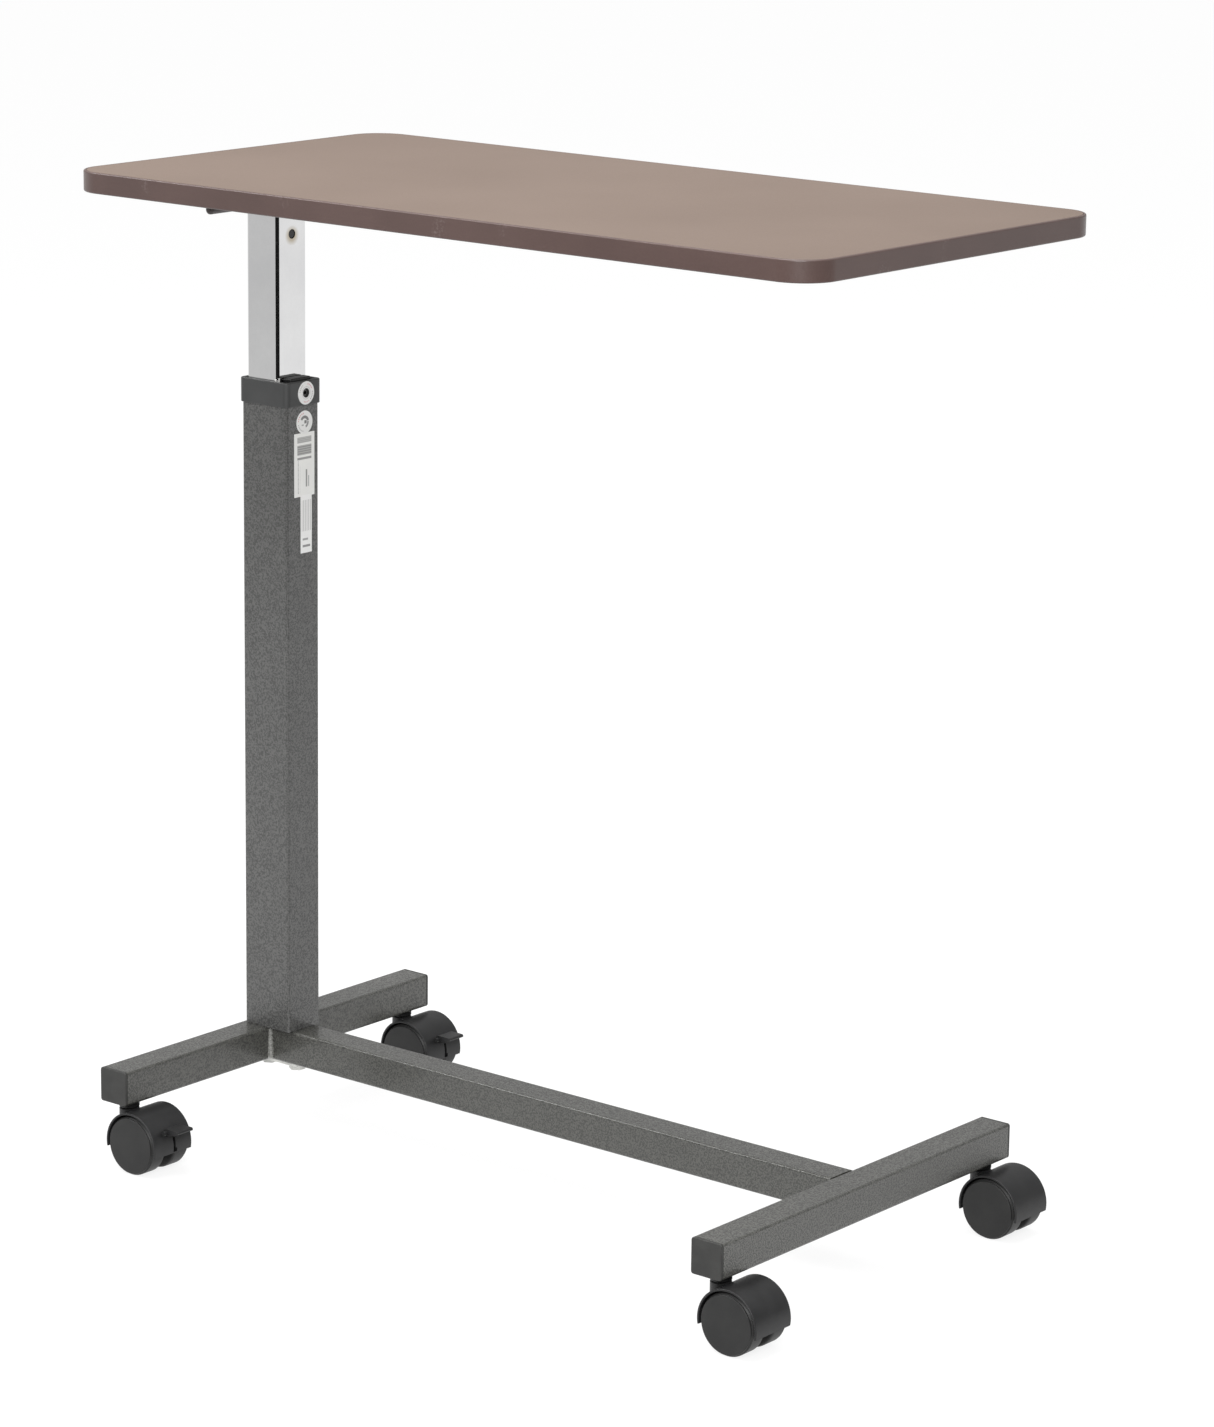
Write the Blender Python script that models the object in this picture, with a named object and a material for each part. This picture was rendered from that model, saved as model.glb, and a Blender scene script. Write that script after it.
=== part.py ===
"""Overbed table: a laminated top on a telescopic column, over an H-shaped base on four castors.

Metres, +Z up. The origin is on the floor below the middle of the tabletop. +X runs along the
tabletop, away from the column. The column stands near the -X end, and the bed goes in from +X.
"""
import math

import bmesh
import bpy
from mathutils import Matrix, Vector

# Fits
TOUCH = 0.0003              # gap between pieces that touch, are glued, welded or clamped
SLIDE = 0.0005              # gap each side of a sliding fit
SPIN = 0.0003               # radial gap of a turning fit
SOFT_EDGE = 0.0004          # chamfer on the ends of pins and axles

# Tabletop
TOP_LENGTH = 0.762
TOP_WIDTH = 0.381
TOP_CORNER = 0.032
TOP_HEIGHT = 0.8525         # floor to the working surface, at rest
LAMINATE = 0.001
CORE = 0.0152
BACKER = 0.0007
BAND = 0.0022
BAND_EDGE = 0.001           # rounded arris of the edge band
TONGUE = 0.002              # barb of the edge band, in a groove of the core
TONGUE_DEPTH = 0.007
TOP_STEPS = 6               # facets round each corner of the top

# Base
BAR = 0.030                 # square tube of the cross bars and the spine
BAR_CORNER = 0.003
BAR_WALL = 0.0016
BAR_LENGTH = 0.390          # cross bar with its end caps
REAR_BAR_BACK = 0.0155      # rear bar's centre line behind the column's
FRONT_BAR_INSET = 0.075     # front bar's centre line from the tabletop's free end
BASE_CLEARANCE = 0.058      # floor to the underside of the tubes
CAP_FLANGE = 0.0025
CAP_PLUG_GAP = 0.0012       # between the cap's plug and the castor socket
CAP_EDGE = 0.0006
PLUG_CORNER = 0.0012        # corners of the plugs that enter the tubes

# Column and mast
MAST = 0.036                # square tube
MAST_CORNER = 0.003
MAST_WALL = 0.0015
COLUMN_INSET = 0.060        # column's centre line from the tabletop's end
COLUMN_CORNER = 0.003
COLUMN_WALL = 0.0015
COLUMN_HEIGHT = 0.5755      # base top to the top of the collar
MAST_MARGIN = 0.0025        # gap between the mast and the column on the -X side
MAST_UP = 0.290             # travel above the rest height
MAST_OVERLAP = 0.100        # mast left in the column at full height
COLLAR_OVERHANG = 0.002
COLLAR_SKIRT = 0.021
COLLAR_LIP = 0.003
COLLAR_EDGE = 0.001
GUIDE_THICKNESS = 0.0094    # along X, between the mast and the column's +X wall
GUIDE_WIDTH = 0.025
GUIDE_EDGE = 0.0012
GUIDE_DEPTH = 0.048
GUIDE_RISE = 0.0025
GUIDE_SCREW = 0.0068        # diameter
GUIDE_SCREW_DROP = 0.0105   # below the collar's top
GUIDE_SCREW_Y = 0.002
GUIDE_SCREW_SUNK = 0.0012   # screw end below the collar's face
FOOT_BLOCK = 0.014
FOOT_BLOCK_EDGE = 0.0016
FOOT_GUIDE = 0.0105
FOOT_GUIDE_CORNER = 0.002
FOOT_GUIDE_PLUG = 0.017

# Bolted joint between base and column
BOLT = 0.008
BOLT_HEAD = 0.0053
BOLT_HEAD_EDGE = 0.0005
BOLT_FLATS = 0.013
BOLT_COVER = 0.0035         # block left above the bolt's tip
BOLT_SPACING = 0.033
BOLT_PLATE = 0.0025
BOLT_PLATE_WIDTH = 0.024
BOLT_PLATE_MARGIN = 0.0135
BOLT_PLATE_EDGE = 0.0005

# Locking gas spring inside the mast
CYLINDER = 0.024
CYLINDER_WALL = 0.002
CYLINDER_HEAD = 0.031       # solid head above the bore
CYLINDER_TOP_DROP = 0.029   # below the tabletop's underside
CYLINDER_EDGE = 0.002
CYLINDER_RISE = 0.015       # above the foot guide's plug
PISTON_ROD = 0.009
ROD_BORE_GAP = 0.0015       # round the rod in the foot guide
PISTON = 0.008              # height
ROD_FOOT = 0.016            # diameter
ROD_FOOT_HEIGHT = 0.0055
GLAND = 0.0077
STROKE_SPARE = 0.009
TOP_PIN = 0.0075
TOP_PIN_DROP = 0.0475       # below the tabletop's underside
TOP_PIN_SHORT = 0.0005      # end of the top pin below the mast's face
RELEASE_PIN = 0.005
RELEASE_PIN_SEAT = 0.007    # length of the pin in the cylinder's head at rest
WELL_FLOOR = 0.002          # head left between the pin's well and the top pin

# Steelwork and release lever under the tabletop
CHANNEL_LENGTH = 0.500
CHANNEL_WIDTH = 0.080
CHANNEL_DEPTH = 0.0187
CHANNEL_WALL = 0.002
CHANNEL_START = 0.015       # from the tabletop's -X end
SCREW_HEAD = 0.009
SCREW_SHANK = 0.0042
SCREW_LENGTH = 0.012
SCREW_HEAD_HEIGHT = 0.0026
SCREW_HEAD_RIM = 0.001
SCREW_DOME = 0.0014
SCREW_TIP = 0.002
SCREW_CENTRE = 0.236        # middle of the screw pattern, from the column
SCREW_SPREAD_X = 0.400
SCREW_SPREAD_Y = 0.050
LEVER_ROD = 0.007
LEVER_ROD_LENGTH = 0.284
LEVER_ROD_DROP = 0.010      # rod centre below the tabletop's underside
LEVER_ROD_EDGE = 0.0015
LEVER_SLOT_GAP = 0.0035     # each side of the rod in the channel's flanges
LEVER_SLOT_LAND = 0.0003    # flange left between the slot and the channel's web
LEVER_ARM = 0.004
LEVER_ARM_WIDTH = 0.011
LEVER_REACH = 0.027         # pivot to rod
LEVER_PIVOT_GAP = 0.01225   # mast face to pivot
LEVER_PIVOT_DROP = 0.009    # below the tabletop's underside
LEVER_TOE = 0.003           # arm past the release pin
LEVER_HUB = 0.008
LEVER_PIN = 0.004
LEVER_PIN_PROUD = 0.001
NOTCH_DROP = 0.006          # mast's notch below the lever's arm
BRACKET_WALL = 0.002
BRACKET_LENGTH = 0.016
BRACKET_DROP = 0.006        # cheeks below the pivot

# Castors
CASTOR_INSET = 0.0195       # stem centre from the end of the bar
WHEEL = 0.051               # diameter
WHEEL_FACE = 0.0237         # outer face from the middle of the castor
WEB = 0.0104                # thickness between the wheels
TRAIL = 0.023
HOOD_GAP = 0.0014
HOOD_WALL = 0.0021
HOOD_WIDTH = 0.045
HOOD_HEM = 0.020            # floor to the hood's lower edge
BOSS_ROOT = 0.7             # height where the boss meets the arch, as a share of the wheel
TREAD_ROUND = 0.0032
TREAD_CHAMFER = 0.002
CROWN = 0.0005              # height of the wheel face's middle over its edge
CROWN_RADIUS = 0.5          # where the crown's slope steepens, as a share of the wheel's radius
AXLE = 0.006
AXLE_COVER = 0.0042         # wheel face to the end of the axle's bore
STEM = 0.008
STEM_DEPTH = 0.013          # stem in the hood's boss
STEM_EDGE = 0.0006
STEM_SHORT = 0.002          # stem's tip below the sleeve's top
BOSS = 0.0174
NECK = 0.0176
NECK_EDGE = 0.0008
NECK_HEIGHT = 0.0063
SLEEVE = 0.0136
SLEEVE_RISE = 0.022
PEDAL_ANGLE = math.radians(27)
PEDAL_HUB = 0.0036
PEDAL_PIN = 0.004
PEDAL_WIDTH = 0.0184
PEDAL_LENGTH = 0.014
PEDAL_TIP = 0.0015          # radius of the pedal's rounded end
PEDAL_TIP_RISE = 0.0021
PEDAL_GAP = 0.0006          # pedal's hub to the hood
PEDAL_LUG = 0.003
LUG_MARGIN = 0.001
LUG_SPREAD = 0.25           # half the angle of a lug's foot on the arch, in radians
LUG_SUNK = 0.0015

# Derived places
UNDERSIDE = TOP_HEIGHT - LAMINATE - CORE - BACKER - 2 * TOUCH
CORE_BOTTOM = UNDERSIDE + BACKER + TOUCH
CORE_TOP = CORE_BOTTOM + CORE
BASE_TOP = BASE_CLEARANCE + BAR
BAR_AXIS_Z = BASE_CLEARANCE + BAR / 2
COLUMN_X = COLUMN_INSET - TOP_LENGTH / 2
REAR_BAR_X = COLUMN_X - REAR_BAR_BACK
FRONT_BAR_X = TOP_LENGTH / 2 - FRONT_BAR_INSET
COLUMN_WIDTH = MAST + 2 * SLIDE + 2 * COLUMN_WALL
COLUMN_LENGTH = 2 * COLUMN_WALL + MAST_MARGIN + MAST + SLIDE + GUIDE_THICKNESS + 2 * TOUCH
MAST_X = COLUMN_X - COLUMN_LENGTH / 2 + COLUMN_WALL + MAST_MARGIN + MAST / 2
COLLAR_TOP = BASE_TOP + COLUMN_HEIGHT
CHANNEL_TOP = UNDERSIDE - TOUCH
MAST_TOP = CHANNEL_TOP - CHANNEL_WALL - TOUCH
MAST_BOTTOM = COLLAR_TOP - MAST_UP - MAST_OVERLAP
ROD_BOTTOM = BASE_TOP + TOUCH + FOOT_BLOCK + TOUCH
CYLINDER_TOP = UNDERSIDE - CYLINDER_TOP_DROP
CYLINDER_BOTTOM = MAST_BOTTOM + FOOT_GUIDE_PLUG + CYLINDER_RISE
PISTON_BOTTOM = CYLINDER_BOTTOM + GLAND + MAST_UP + STROKE_SPARE
PIVOT_X = MAST_X + MAST / 2 + LEVER_PIVOT_GAP
PIVOT_Z = UNDERSIDE - LEVER_PIVOT_DROP
ARM_BOTTOM = PIVOT_Z - LEVER_ARM / 2
SCREW_X = COLUMN_X + SCREW_CENTRE
GUIDE_SCREW_Z = COLLAR_TOP - GUIDE_SCREW_DROP
HOOD_INNER = WHEEL / 2 + HOOD_GAP
HOOD_OUTER = HOOD_INNER + HOOD_WALL
NECK_BOTTOM = BASE_CLEARANCE - TOUCH - NECK_HEIGHT
BOSS_TOP = NECK_BOTTOM - 2 * TOUCH


ALONG_X = (0, math.pi / 2, 0)
ALONG_Y = (-math.pi / 2, 0, 0)
WELD = 0.00001              # points this close are one
OVERCUT = 0.010             # cutting tools reach this far past what they cut


def clear_scene():
    for item in list(bpy.data.objects):
        bpy.data.objects.remove(item, do_unlink=True)


def material(name, colour, roughness, metallic):
    made = bpy.data.materials.new(name)
    made.use_nodes = True
    shader = made.node_tree.nodes["Principled BSDF"]
    shader.inputs["Base Color"].default_value = (*colour, 1.0)
    shader.inputs["Roughness"].default_value = roughness
    shader.inputs["Metallic"].default_value = metallic
    made.diffuse_color = (*colour, 1.0)
    return made


def place(name, bm, finish, location=(0, 0, 0), rotation=(0, 0, 0), parent=None, smooth=True):
    """Turn a bmesh into a named object, at a place given in the world or under its parent."""
    bmesh.ops.recalc_face_normals(bm, faces=bm.faces)
    mesh = bpy.data.meshes.new(name)
    bm.to_mesh(mesh)
    bm.free()
    if finish:
        mesh.materials.append(finish)
    if smooth:
        mesh.shade_smooth()
        mesh.set_sharp_from_angle(angle=math.radians(32))
    item = bpy.data.objects.new(name, mesh)
    item.location = location
    item.rotation_euler = rotation
    item.parent = parent
    bpy.context.scene.collection.objects.link(item)
    return item


def empty(name, location):
    item = bpy.data.objects.new(name, None)
    item.location = location
    item.empty_display_size = 0.02
    bpy.context.scene.collection.objects.link(item)
    return item


def combine(item, tool, operation="DIFFERENCE"):
    """Cut a tool out of an object, or join it on, and keep the result as the object's mesh."""
    change = item.modifiers.new(operation.lower(), "BOOLEAN")
    change.operation = operation
    change.solver = "EXACT"
    change.object = tool
    bpy.context.view_layer.update()
    graph = bpy.context.evaluated_depsgraph_get()
    result = bpy.data.meshes.new_from_object(item.evaluated_get(graph))
    item.modifiers.clear()
    item.data = result
    bpy.data.objects.remove(tool, do_unlink=True)


def rounded_ring(bm, length, width, radius, z, steps, centre=(0, 0)):
    """The points of a ring round a rectangle with round corners."""
    points = []
    for turn, sx, sy in ((0, 1, 1), (1, -1, 1), (2, -1, -1), (3, 1, -1)):
        cx = centre[0] + sx * (length / 2 - radius)
        cy = centre[1] + sy * (width / 2 - radius)
        for step in range(steps + 1):
            angle = (turn + step / steps) * math.pi / 2
            x = cx + radius * math.cos(angle)
            y = cy + radius * math.sin(angle)
            points.append(bm.verts.new((x, y, z)))
    return points


def loft(name, rings, finish, steps=3, closed=False, **where):
    """Skin a row of rounded rectangles (length, width, corner, z); closed joins last to first."""
    bm = bmesh.new()
    made = [rounded_ring(bm, *ring[:4], steps, *ring[4:]) for ring in rings]
    pairs = list(zip(made, made[1:]))
    if closed:
        pairs.append((made[-1], made[0]))
    else:
        bm.faces.new(made[0])
        bm.faces.new(made[-1])
    for first, second in pairs:
        for i in range(len(first)):
            bm.faces.new((first[i - 1], first[i], second[i], second[i - 1]))
    return place(name, bm, finish, **where)


def tube(name, length, width, corner, wall, height, finish, **where):
    """A square or rectangular tube along local Z, open at both ends, centred on its place."""
    bore = max(corner - wall, corner / 4)
    outer = (length, width, corner)
    inner = (length - 2 * wall, width - 2 * wall, bore)
    half = height / 2
    rings = [(*outer, -half), (*outer, half), (*inner, half), (*inner, -half)]
    return loft(name, rings, finish, closed=True, **where)


def turned(name, profile, finish, steps=20, closed=False, **where):
    """Spin a profile of (radius, height) round local Z; an open profile starts and ends on the axis."""
    bm = bmesh.new()
    points = [bm.verts.new((radius, 0, height)) for radius, height in profile]
    edges = [bm.edges.new(pair) for pair in zip(points, points[1:])]
    if closed:
        edges.append(bm.edges.new((points[-1], points[0])))
    bmesh.ops.spin(bm, geom=points + edges, cent=(0, 0, 0), axis=(0, 0, 1), dvec=(0, 0, 0),
                   angle=math.tau, steps=steps)
    bmesh.ops.remove_doubles(bm, verts=bm.verts, dist=WELD)
    return place(name, bm, finish, **where)


def rod(name, diameter, length, finish=None, chamfer=0.0, steps=12, **where):
    """A round rod along local Z, centred on its place, with chamfered ends."""
    radius = diameter / 2
    half = length / 2
    if chamfer:
        profile = [(0, -half), (radius - chamfer, -half), (radius, chamfer - half),
                   (radius, half - chamfer), (radius - chamfer, half), (0, half)]
    else:
        profile = [(0, -half), (radius, -half), (radius, half), (0, half)]
    return turned(name, profile, finish, steps, **where)


def block(name, low, high, finish=None, bevel=0.0, parent=None):
    """A box between two corners, with its origin in the middle."""
    low = Vector(low)
    high = Vector(high)
    bm = bmesh.new()
    size = high - low
    bmesh.ops.create_cube(bm, size=1, matrix=Matrix.Diagonal((*size, 1)))
    if bevel:
        bmesh.ops.bevel(bm, geom=bm.edges[:], affect="EDGES", offset=bevel, segments=2,
                        profile=0.5, material=-1)
    return place(name, bm, finish, location=(low + high) / 2, parent=parent)


def extruded(name, outline, depth, finish=None, **where):
    """Extrude an outline given in local X and Z to both sides of the local XZ plane."""
    bm = bmesh.new()
    face = bm.faces.new([bm.verts.new((x, -depth / 2, z)) for x, z in outline])
    grown = bmesh.ops.extrude_face_region(bm, geom=[face])["geom"]
    moved = [item for item in grown if isinstance(item, bmesh.types.BMVert)]
    bmesh.ops.translate(bm, verts=moved, vec=(0, depth, 0))
    return place(name, bm, finish, **where)


def arc(centre, radius, start, end, steps):
    """Points on an arc, angles in radians."""
    turns = [start + (end - start) * step / steps for step in range(steps + 1)]
    return [(centre[0] + radius * math.cos(a), centre[1] + radius * math.sin(a)) for a in turns]


def build_tabletop():
    """Particle-board core between laminate and backer, closed by a T-shaped edge band."""
    laminate = material("taupe_laminate", (0.36, 0.29, 0.23), 0.5, 0)
    board = material("particle_board", (0.55, 0.42, 0.28), 0.9, 0)
    backing = material("backer_sheet", (0.35, 0.30, 0.26), 0.7, 0)
    plastic = material("brown_edge_band", (0.10, 0.07, 0.06), 0.35, 0)

    def outline(inset):
        return TOP_LENGTH - 2 * inset, TOP_WIDTH - 2 * inset, TOP_CORNER - inset

    board_edge = BAND + TOUCH
    middle = CORE_BOTTOM + CORE / 2
    groove = board_edge + TONGUE_DEPTH
    loft("tabletop_laminate", [(*outline(board_edge), CORE_TOP + TOUCH),
                               (*outline(board_edge), TOP_HEIGHT)], laminate, TOP_STEPS)
    core = loft("tabletop_core", [
        (*outline(board_edge), CORE_BOTTOM),
        (*outline(board_edge), middle - TONGUE / 2 - TOUCH),
        (*outline(groove), middle - TONGUE / 2 - TOUCH),
        (*outline(groove), middle + TONGUE / 2 + TOUCH),
        (*outline(board_edge), middle + TONGUE / 2 + TOUCH),
        (*outline(board_edge), CORE_TOP)], board, TOP_STEPS)
    backer = loft("tabletop_backer", [(*outline(board_edge), UNDERSIDE),
                                      (*outline(board_edge), UNDERSIDE + BACKER)], backing, TOP_STEPS)
    tip = BAND + TONGUE_DEPTH - TOUCH
    loft("edge_band", [
        (*outline(BAND_EDGE), UNDERSIDE), (*outline(0), UNDERSIDE + BAND_EDGE),
        (*outline(0), TOP_HEIGHT - BAND_EDGE), (*outline(BAND_EDGE), TOP_HEIGHT),
        (*outline(BAND), TOP_HEIGHT), (*outline(BAND), middle + TONGUE / 2),
        (*outline(tip), middle + TONGUE / 2), (*outline(tip), middle - TONGUE / 2),
        (*outline(BAND), middle - TONGUE / 2), (*outline(BAND), UNDERSIDE)], plastic, TOP_STEPS, True)
    return core, backer


def build_channel(core, backer):
    """Steel channel under the tabletop, and the four screws that hold it."""
    paint = material("channel_paint", (0.09, 0.09, 0.09), 0.5, 0.3)
    zinc = material("zinc_screw", (0.62, 0.62, 0.6), 0.35, 1)
    half = CHANNEL_WIDTH / 2
    web = CHANNEL_TOP - CHANNEL_WALL
    hem = CHANNEL_TOP - CHANNEL_DEPTH
    section = [(-half, hem), (-half + CHANNEL_WALL, hem), (-half + CHANNEL_WALL, web),
               (half - CHANNEL_WALL, web), (half - CHANNEL_WALL, hem), (half, hem),
               (half, CHANNEL_TOP), (-half, CHANNEL_TOP)]
    middle = -TOP_LENGTH / 2 + CHANNEL_START + CHANNEL_LENGTH / 2
    channel = extruded("support_channel", section, CHANNEL_LENGTH, paint,
                       location=(middle, 0, 0), rotation=(0, 0, math.pi / 2))
    rod_x = PIVOT_X + LEVER_REACH
    slot = LEVER_ROD / 2 + LEVER_SLOT_GAP
    combine(channel, block("slot_tool", (rod_x - slot, -half - OVERCUT, hem - OVERCUT),
                           (rod_x + slot, half + OVERCUT, web - LEVER_SLOT_LAND)))
    number = 0
    for x in (SCREW_X - SCREW_SPREAD_X / 2, SCREW_X + SCREW_SPREAD_X / 2):
        for y in (-SCREW_SPREAD_Y / 2, SCREW_SPREAD_Y / 2):
            number += 1
            hole = SCREW_SHANK + 2 * TOUCH
            for piece in (channel, backer, core):
                combine(piece, rod("hole_tool", hole, 2 * (SCREW_LENGTH + TOUCH), steps=12,
                                   location=(x, y, web)))
            head = web - TOUCH
            low = head - SCREW_HEAD_HEIGHT
            turned(f"channel_screw_{number}", [
                (0, low), (SCREW_HEAD / 2 - SCREW_DOME, low), (SCREW_HEAD / 2, head - SCREW_HEAD_RIM),
                (SCREW_HEAD / 2, head), (SCREW_SHANK / 2, head),
                (SCREW_SHANK / 2, web + SCREW_LENGTH - SCREW_TIP), (0, web + SCREW_LENGTH)],
                zinc, 12, location=(x, y, 0))


def build_release():
    """Release bar under the tabletop: its pivoted arm presses the gas spring's release pin."""
    steel = material("lever_steel", (0.08, 0.08, 0.085), 0.4, 0.6)
    zinc = material("bracket_zinc", (0.6, 0.6, 0.58), 0.4, 1)
    inner = LEVER_ARM_WIDTH / 2 + SLIDE
    outer = inner + BRACKET_WALL
    back = BRACKET_LENGTH / 2
    bracket = block("lever_bracket", (PIVOT_X - back, -outer, PIVOT_Z - BRACKET_DROP),
                    (PIVOT_X + back, outer, MAST_TOP), zinc)
    combine(bracket, block("bay_tool", (PIVOT_X - 2 * back, -inner, PIVOT_Z - BRACKET_DROP - OVERCUT),
                           (PIVOT_X + 2 * back, inner, MAST_TOP - BRACKET_WALL)))
    combine(bracket, rod("pin_tool", LEVER_PIN + 2 * SPIN, 4 * outer, rotation=ALONG_Y,
                         location=(PIVOT_X, 0, PIVOT_Z)))
    rod("lever_pivot_pin", LEVER_PIN, 2 * (outer + LEVER_PIN_PROUD), zinc, SOFT_EDGE,
        rotation=ALONG_Y, location=(PIVOT_X, 0, PIVOT_Z))

    pivot = empty("lever_axis", (PIVOT_X, 0, PIVOT_Z))
    rod_z = UNDERSIDE - LEVER_ROD_DROP - PIVOT_Z
    reach = PIVOT_X - MAST_X + RELEASE_PIN / 2 + LEVER_TOE
    lever = block("release_lever", (-reach, -LEVER_ARM_WIDTH / 2, -LEVER_ARM / 2),
                  (LEVER_REACH, LEVER_ARM_WIDTH / 2, LEVER_ARM / 2), steel, parent=pivot)
    combine(lever, rod("hub_tool", LEVER_HUB, LEVER_ARM_WIDTH, rotation=ALONG_Y, parent=pivot), "UNION")
    combine(lever, rod("rod_tool", LEVER_ROD, LEVER_ROD_LENGTH, None, LEVER_ROD_EDGE,
                       rotation=ALONG_Y, location=(LEVER_REACH, 0, rod_z), parent=pivot), "UNION")
    combine(lever, rod("pin_tool", LEVER_PIN + 2 * SPIN, 2 * LEVER_ARM_WIDTH, rotation=ALONG_Y,
                       parent=pivot))


def build_mast():
    """Chrome mast with its foot guide; the lever's arm enters through a notch at the top."""
    chrome = material("chrome", (0.8, 0.8, 0.8), 0.08, 1)
    nylon = material("black_nylon", (0.02, 0.02, 0.02), 0.5, 0)
    zinc = material("pin_steel", (0.1, 0.1, 0.1), 0.4, 0.8)
    length = MAST_TOP - MAST_BOTTOM
    mast = tube("inner_mast", MAST, MAST, MAST_CORNER, MAST_WALL, length, chrome,
                location=(MAST_X, 0, MAST_BOTTOM + length / 2))
    face = MAST_X + MAST / 2
    notch = LEVER_ARM_WIDTH / 2 + 2 * SLIDE
    combine(mast, block("notch_tool", (face - 3 * MAST_WALL, -notch, ARM_BOTTOM - NOTCH_DROP),
                        (face + MAST_WALL, notch, MAST_TOP + OVERCUT)))
    pin_z = UNDERSIDE - TOP_PIN_DROP
    combine(mast, rod("pin_tool", TOP_PIN + 2 * TOUCH, 2 * MAST, rotation=ALONG_X,
                      location=(MAST_X, 0, pin_z)))
    rod("gas_spring_top_pin", TOP_PIN, MAST - 2 * TOP_PIN_SHORT, zinc, SOFT_EDGE,
        rotation=ALONG_X, location=(MAST_X, 0, pin_z))

    inner = MAST - 2 * MAST_WALL - 2 * TOUCH
    bore = PISTON_ROD + 2 * ROD_BORE_GAP
    wide = COLUMN_LENGTH - 2 * COLUMN_WALL - 2 * SLIDE
    deep = COLUMN_WIDTH - 2 * COLUMN_WALL - 2 * SLIDE
    shift = COLUMN_X - MAST_X
    top = MAST_BOTTOM - TOUCH
    guide = loft("mast_foot_guide", [
        (wide, deep, FOOT_GUIDE_CORNER, top - FOOT_GUIDE, (shift, 0)),
        (wide, deep, FOOT_GUIDE_CORNER, top, (shift, 0)), (inner, inner, PLUG_CORNER, top),
        (inner, inner, PLUG_CORNER, top + FOOT_GUIDE_PLUG)], nylon, location=(MAST_X, 0, 0))
    combine(guide, rod("bore_tool", bore, 4 * FOOT_GUIDE_PLUG, location=(MAST_X, 0, top)))


def build_gas_spring():
    """Locking gas spring: cylinder hung from the mast's top pin, rod standing on the foot block."""
    black = material("gas_spring_black", (0.02, 0.02, 0.02), 0.3, 0.2)
    bright = material("rod_steel", (0.75, 0.75, 0.75), 0.12, 1)
    outer = CYLINDER / 2
    bore = outer - CYLINDER_WALL
    cylinder = turned("gas_spring_cylinder", [
        (bore, CYLINDER_BOTTOM), (outer, CYLINDER_BOTTOM), (outer, CYLINDER_TOP - CYLINDER_EDGE),
        (outer - CYLINDER_EDGE, CYLINDER_TOP), (0, CYLINDER_TOP), (0, CYLINDER_TOP - CYLINDER_HEAD),
        (bore, CYLINDER_TOP - CYLINDER_HEAD)], black, closed=True, location=(MAST_X, 0, 0))
    pin_z = UNDERSIDE - TOP_PIN_DROP
    combine(cylinder, rod("pin_tool", TOP_PIN + 2 * TOUCH, 2 * MAST, rotation=ALONG_X,
                          location=(MAST_X, 0, pin_z)))
    well = pin_z + TOP_PIN / 2 + WELL_FLOOR
    combine(cylinder, rod("well_tool", RELEASE_PIN + 2 * SPIN, 2 * (CYLINDER_TOP - well),
                          location=(MAST_X, 0, CYLINDER_TOP)))
    low = CYLINDER_TOP - RELEASE_PIN_SEAT
    high = ARM_BOTTOM - TOUCH
    rod("release_pin", RELEASE_PIN, high - low, bright, SOFT_EDGE,
        location=(MAST_X, 0, (low + high) / 2))
    turned("gas_spring_gland", [
        (PISTON_ROD / 2 + SPIN, CYLINDER_BOTTOM), (bore - TOUCH, CYLINDER_BOTTOM),
        (bore - TOUCH, CYLINDER_BOTTOM + GLAND), (PISTON_ROD / 2 + SPIN, CYLINDER_BOTTOM + GLAND)],
        black, closed=True, location=(MAST_X, 0, 0))
    turned("piston_rod", [
        (0, ROD_BOTTOM), (ROD_FOOT / 2, ROD_BOTTOM), (ROD_FOOT / 2, ROD_BOTTOM + ROD_FOOT_HEIGHT),
        (PISTON_ROD / 2, ROD_BOTTOM + ROD_FOOT_HEIGHT), (PISTON_ROD / 2, PISTON_BOTTOM),
        (bore - SPIN, PISTON_BOTTOM), (bore - SPIN, PISTON_BOTTOM + PISTON),
        (0, PISTON_BOTTOM + PISTON)], bright, location=(MAST_X, 0, 0))


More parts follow.
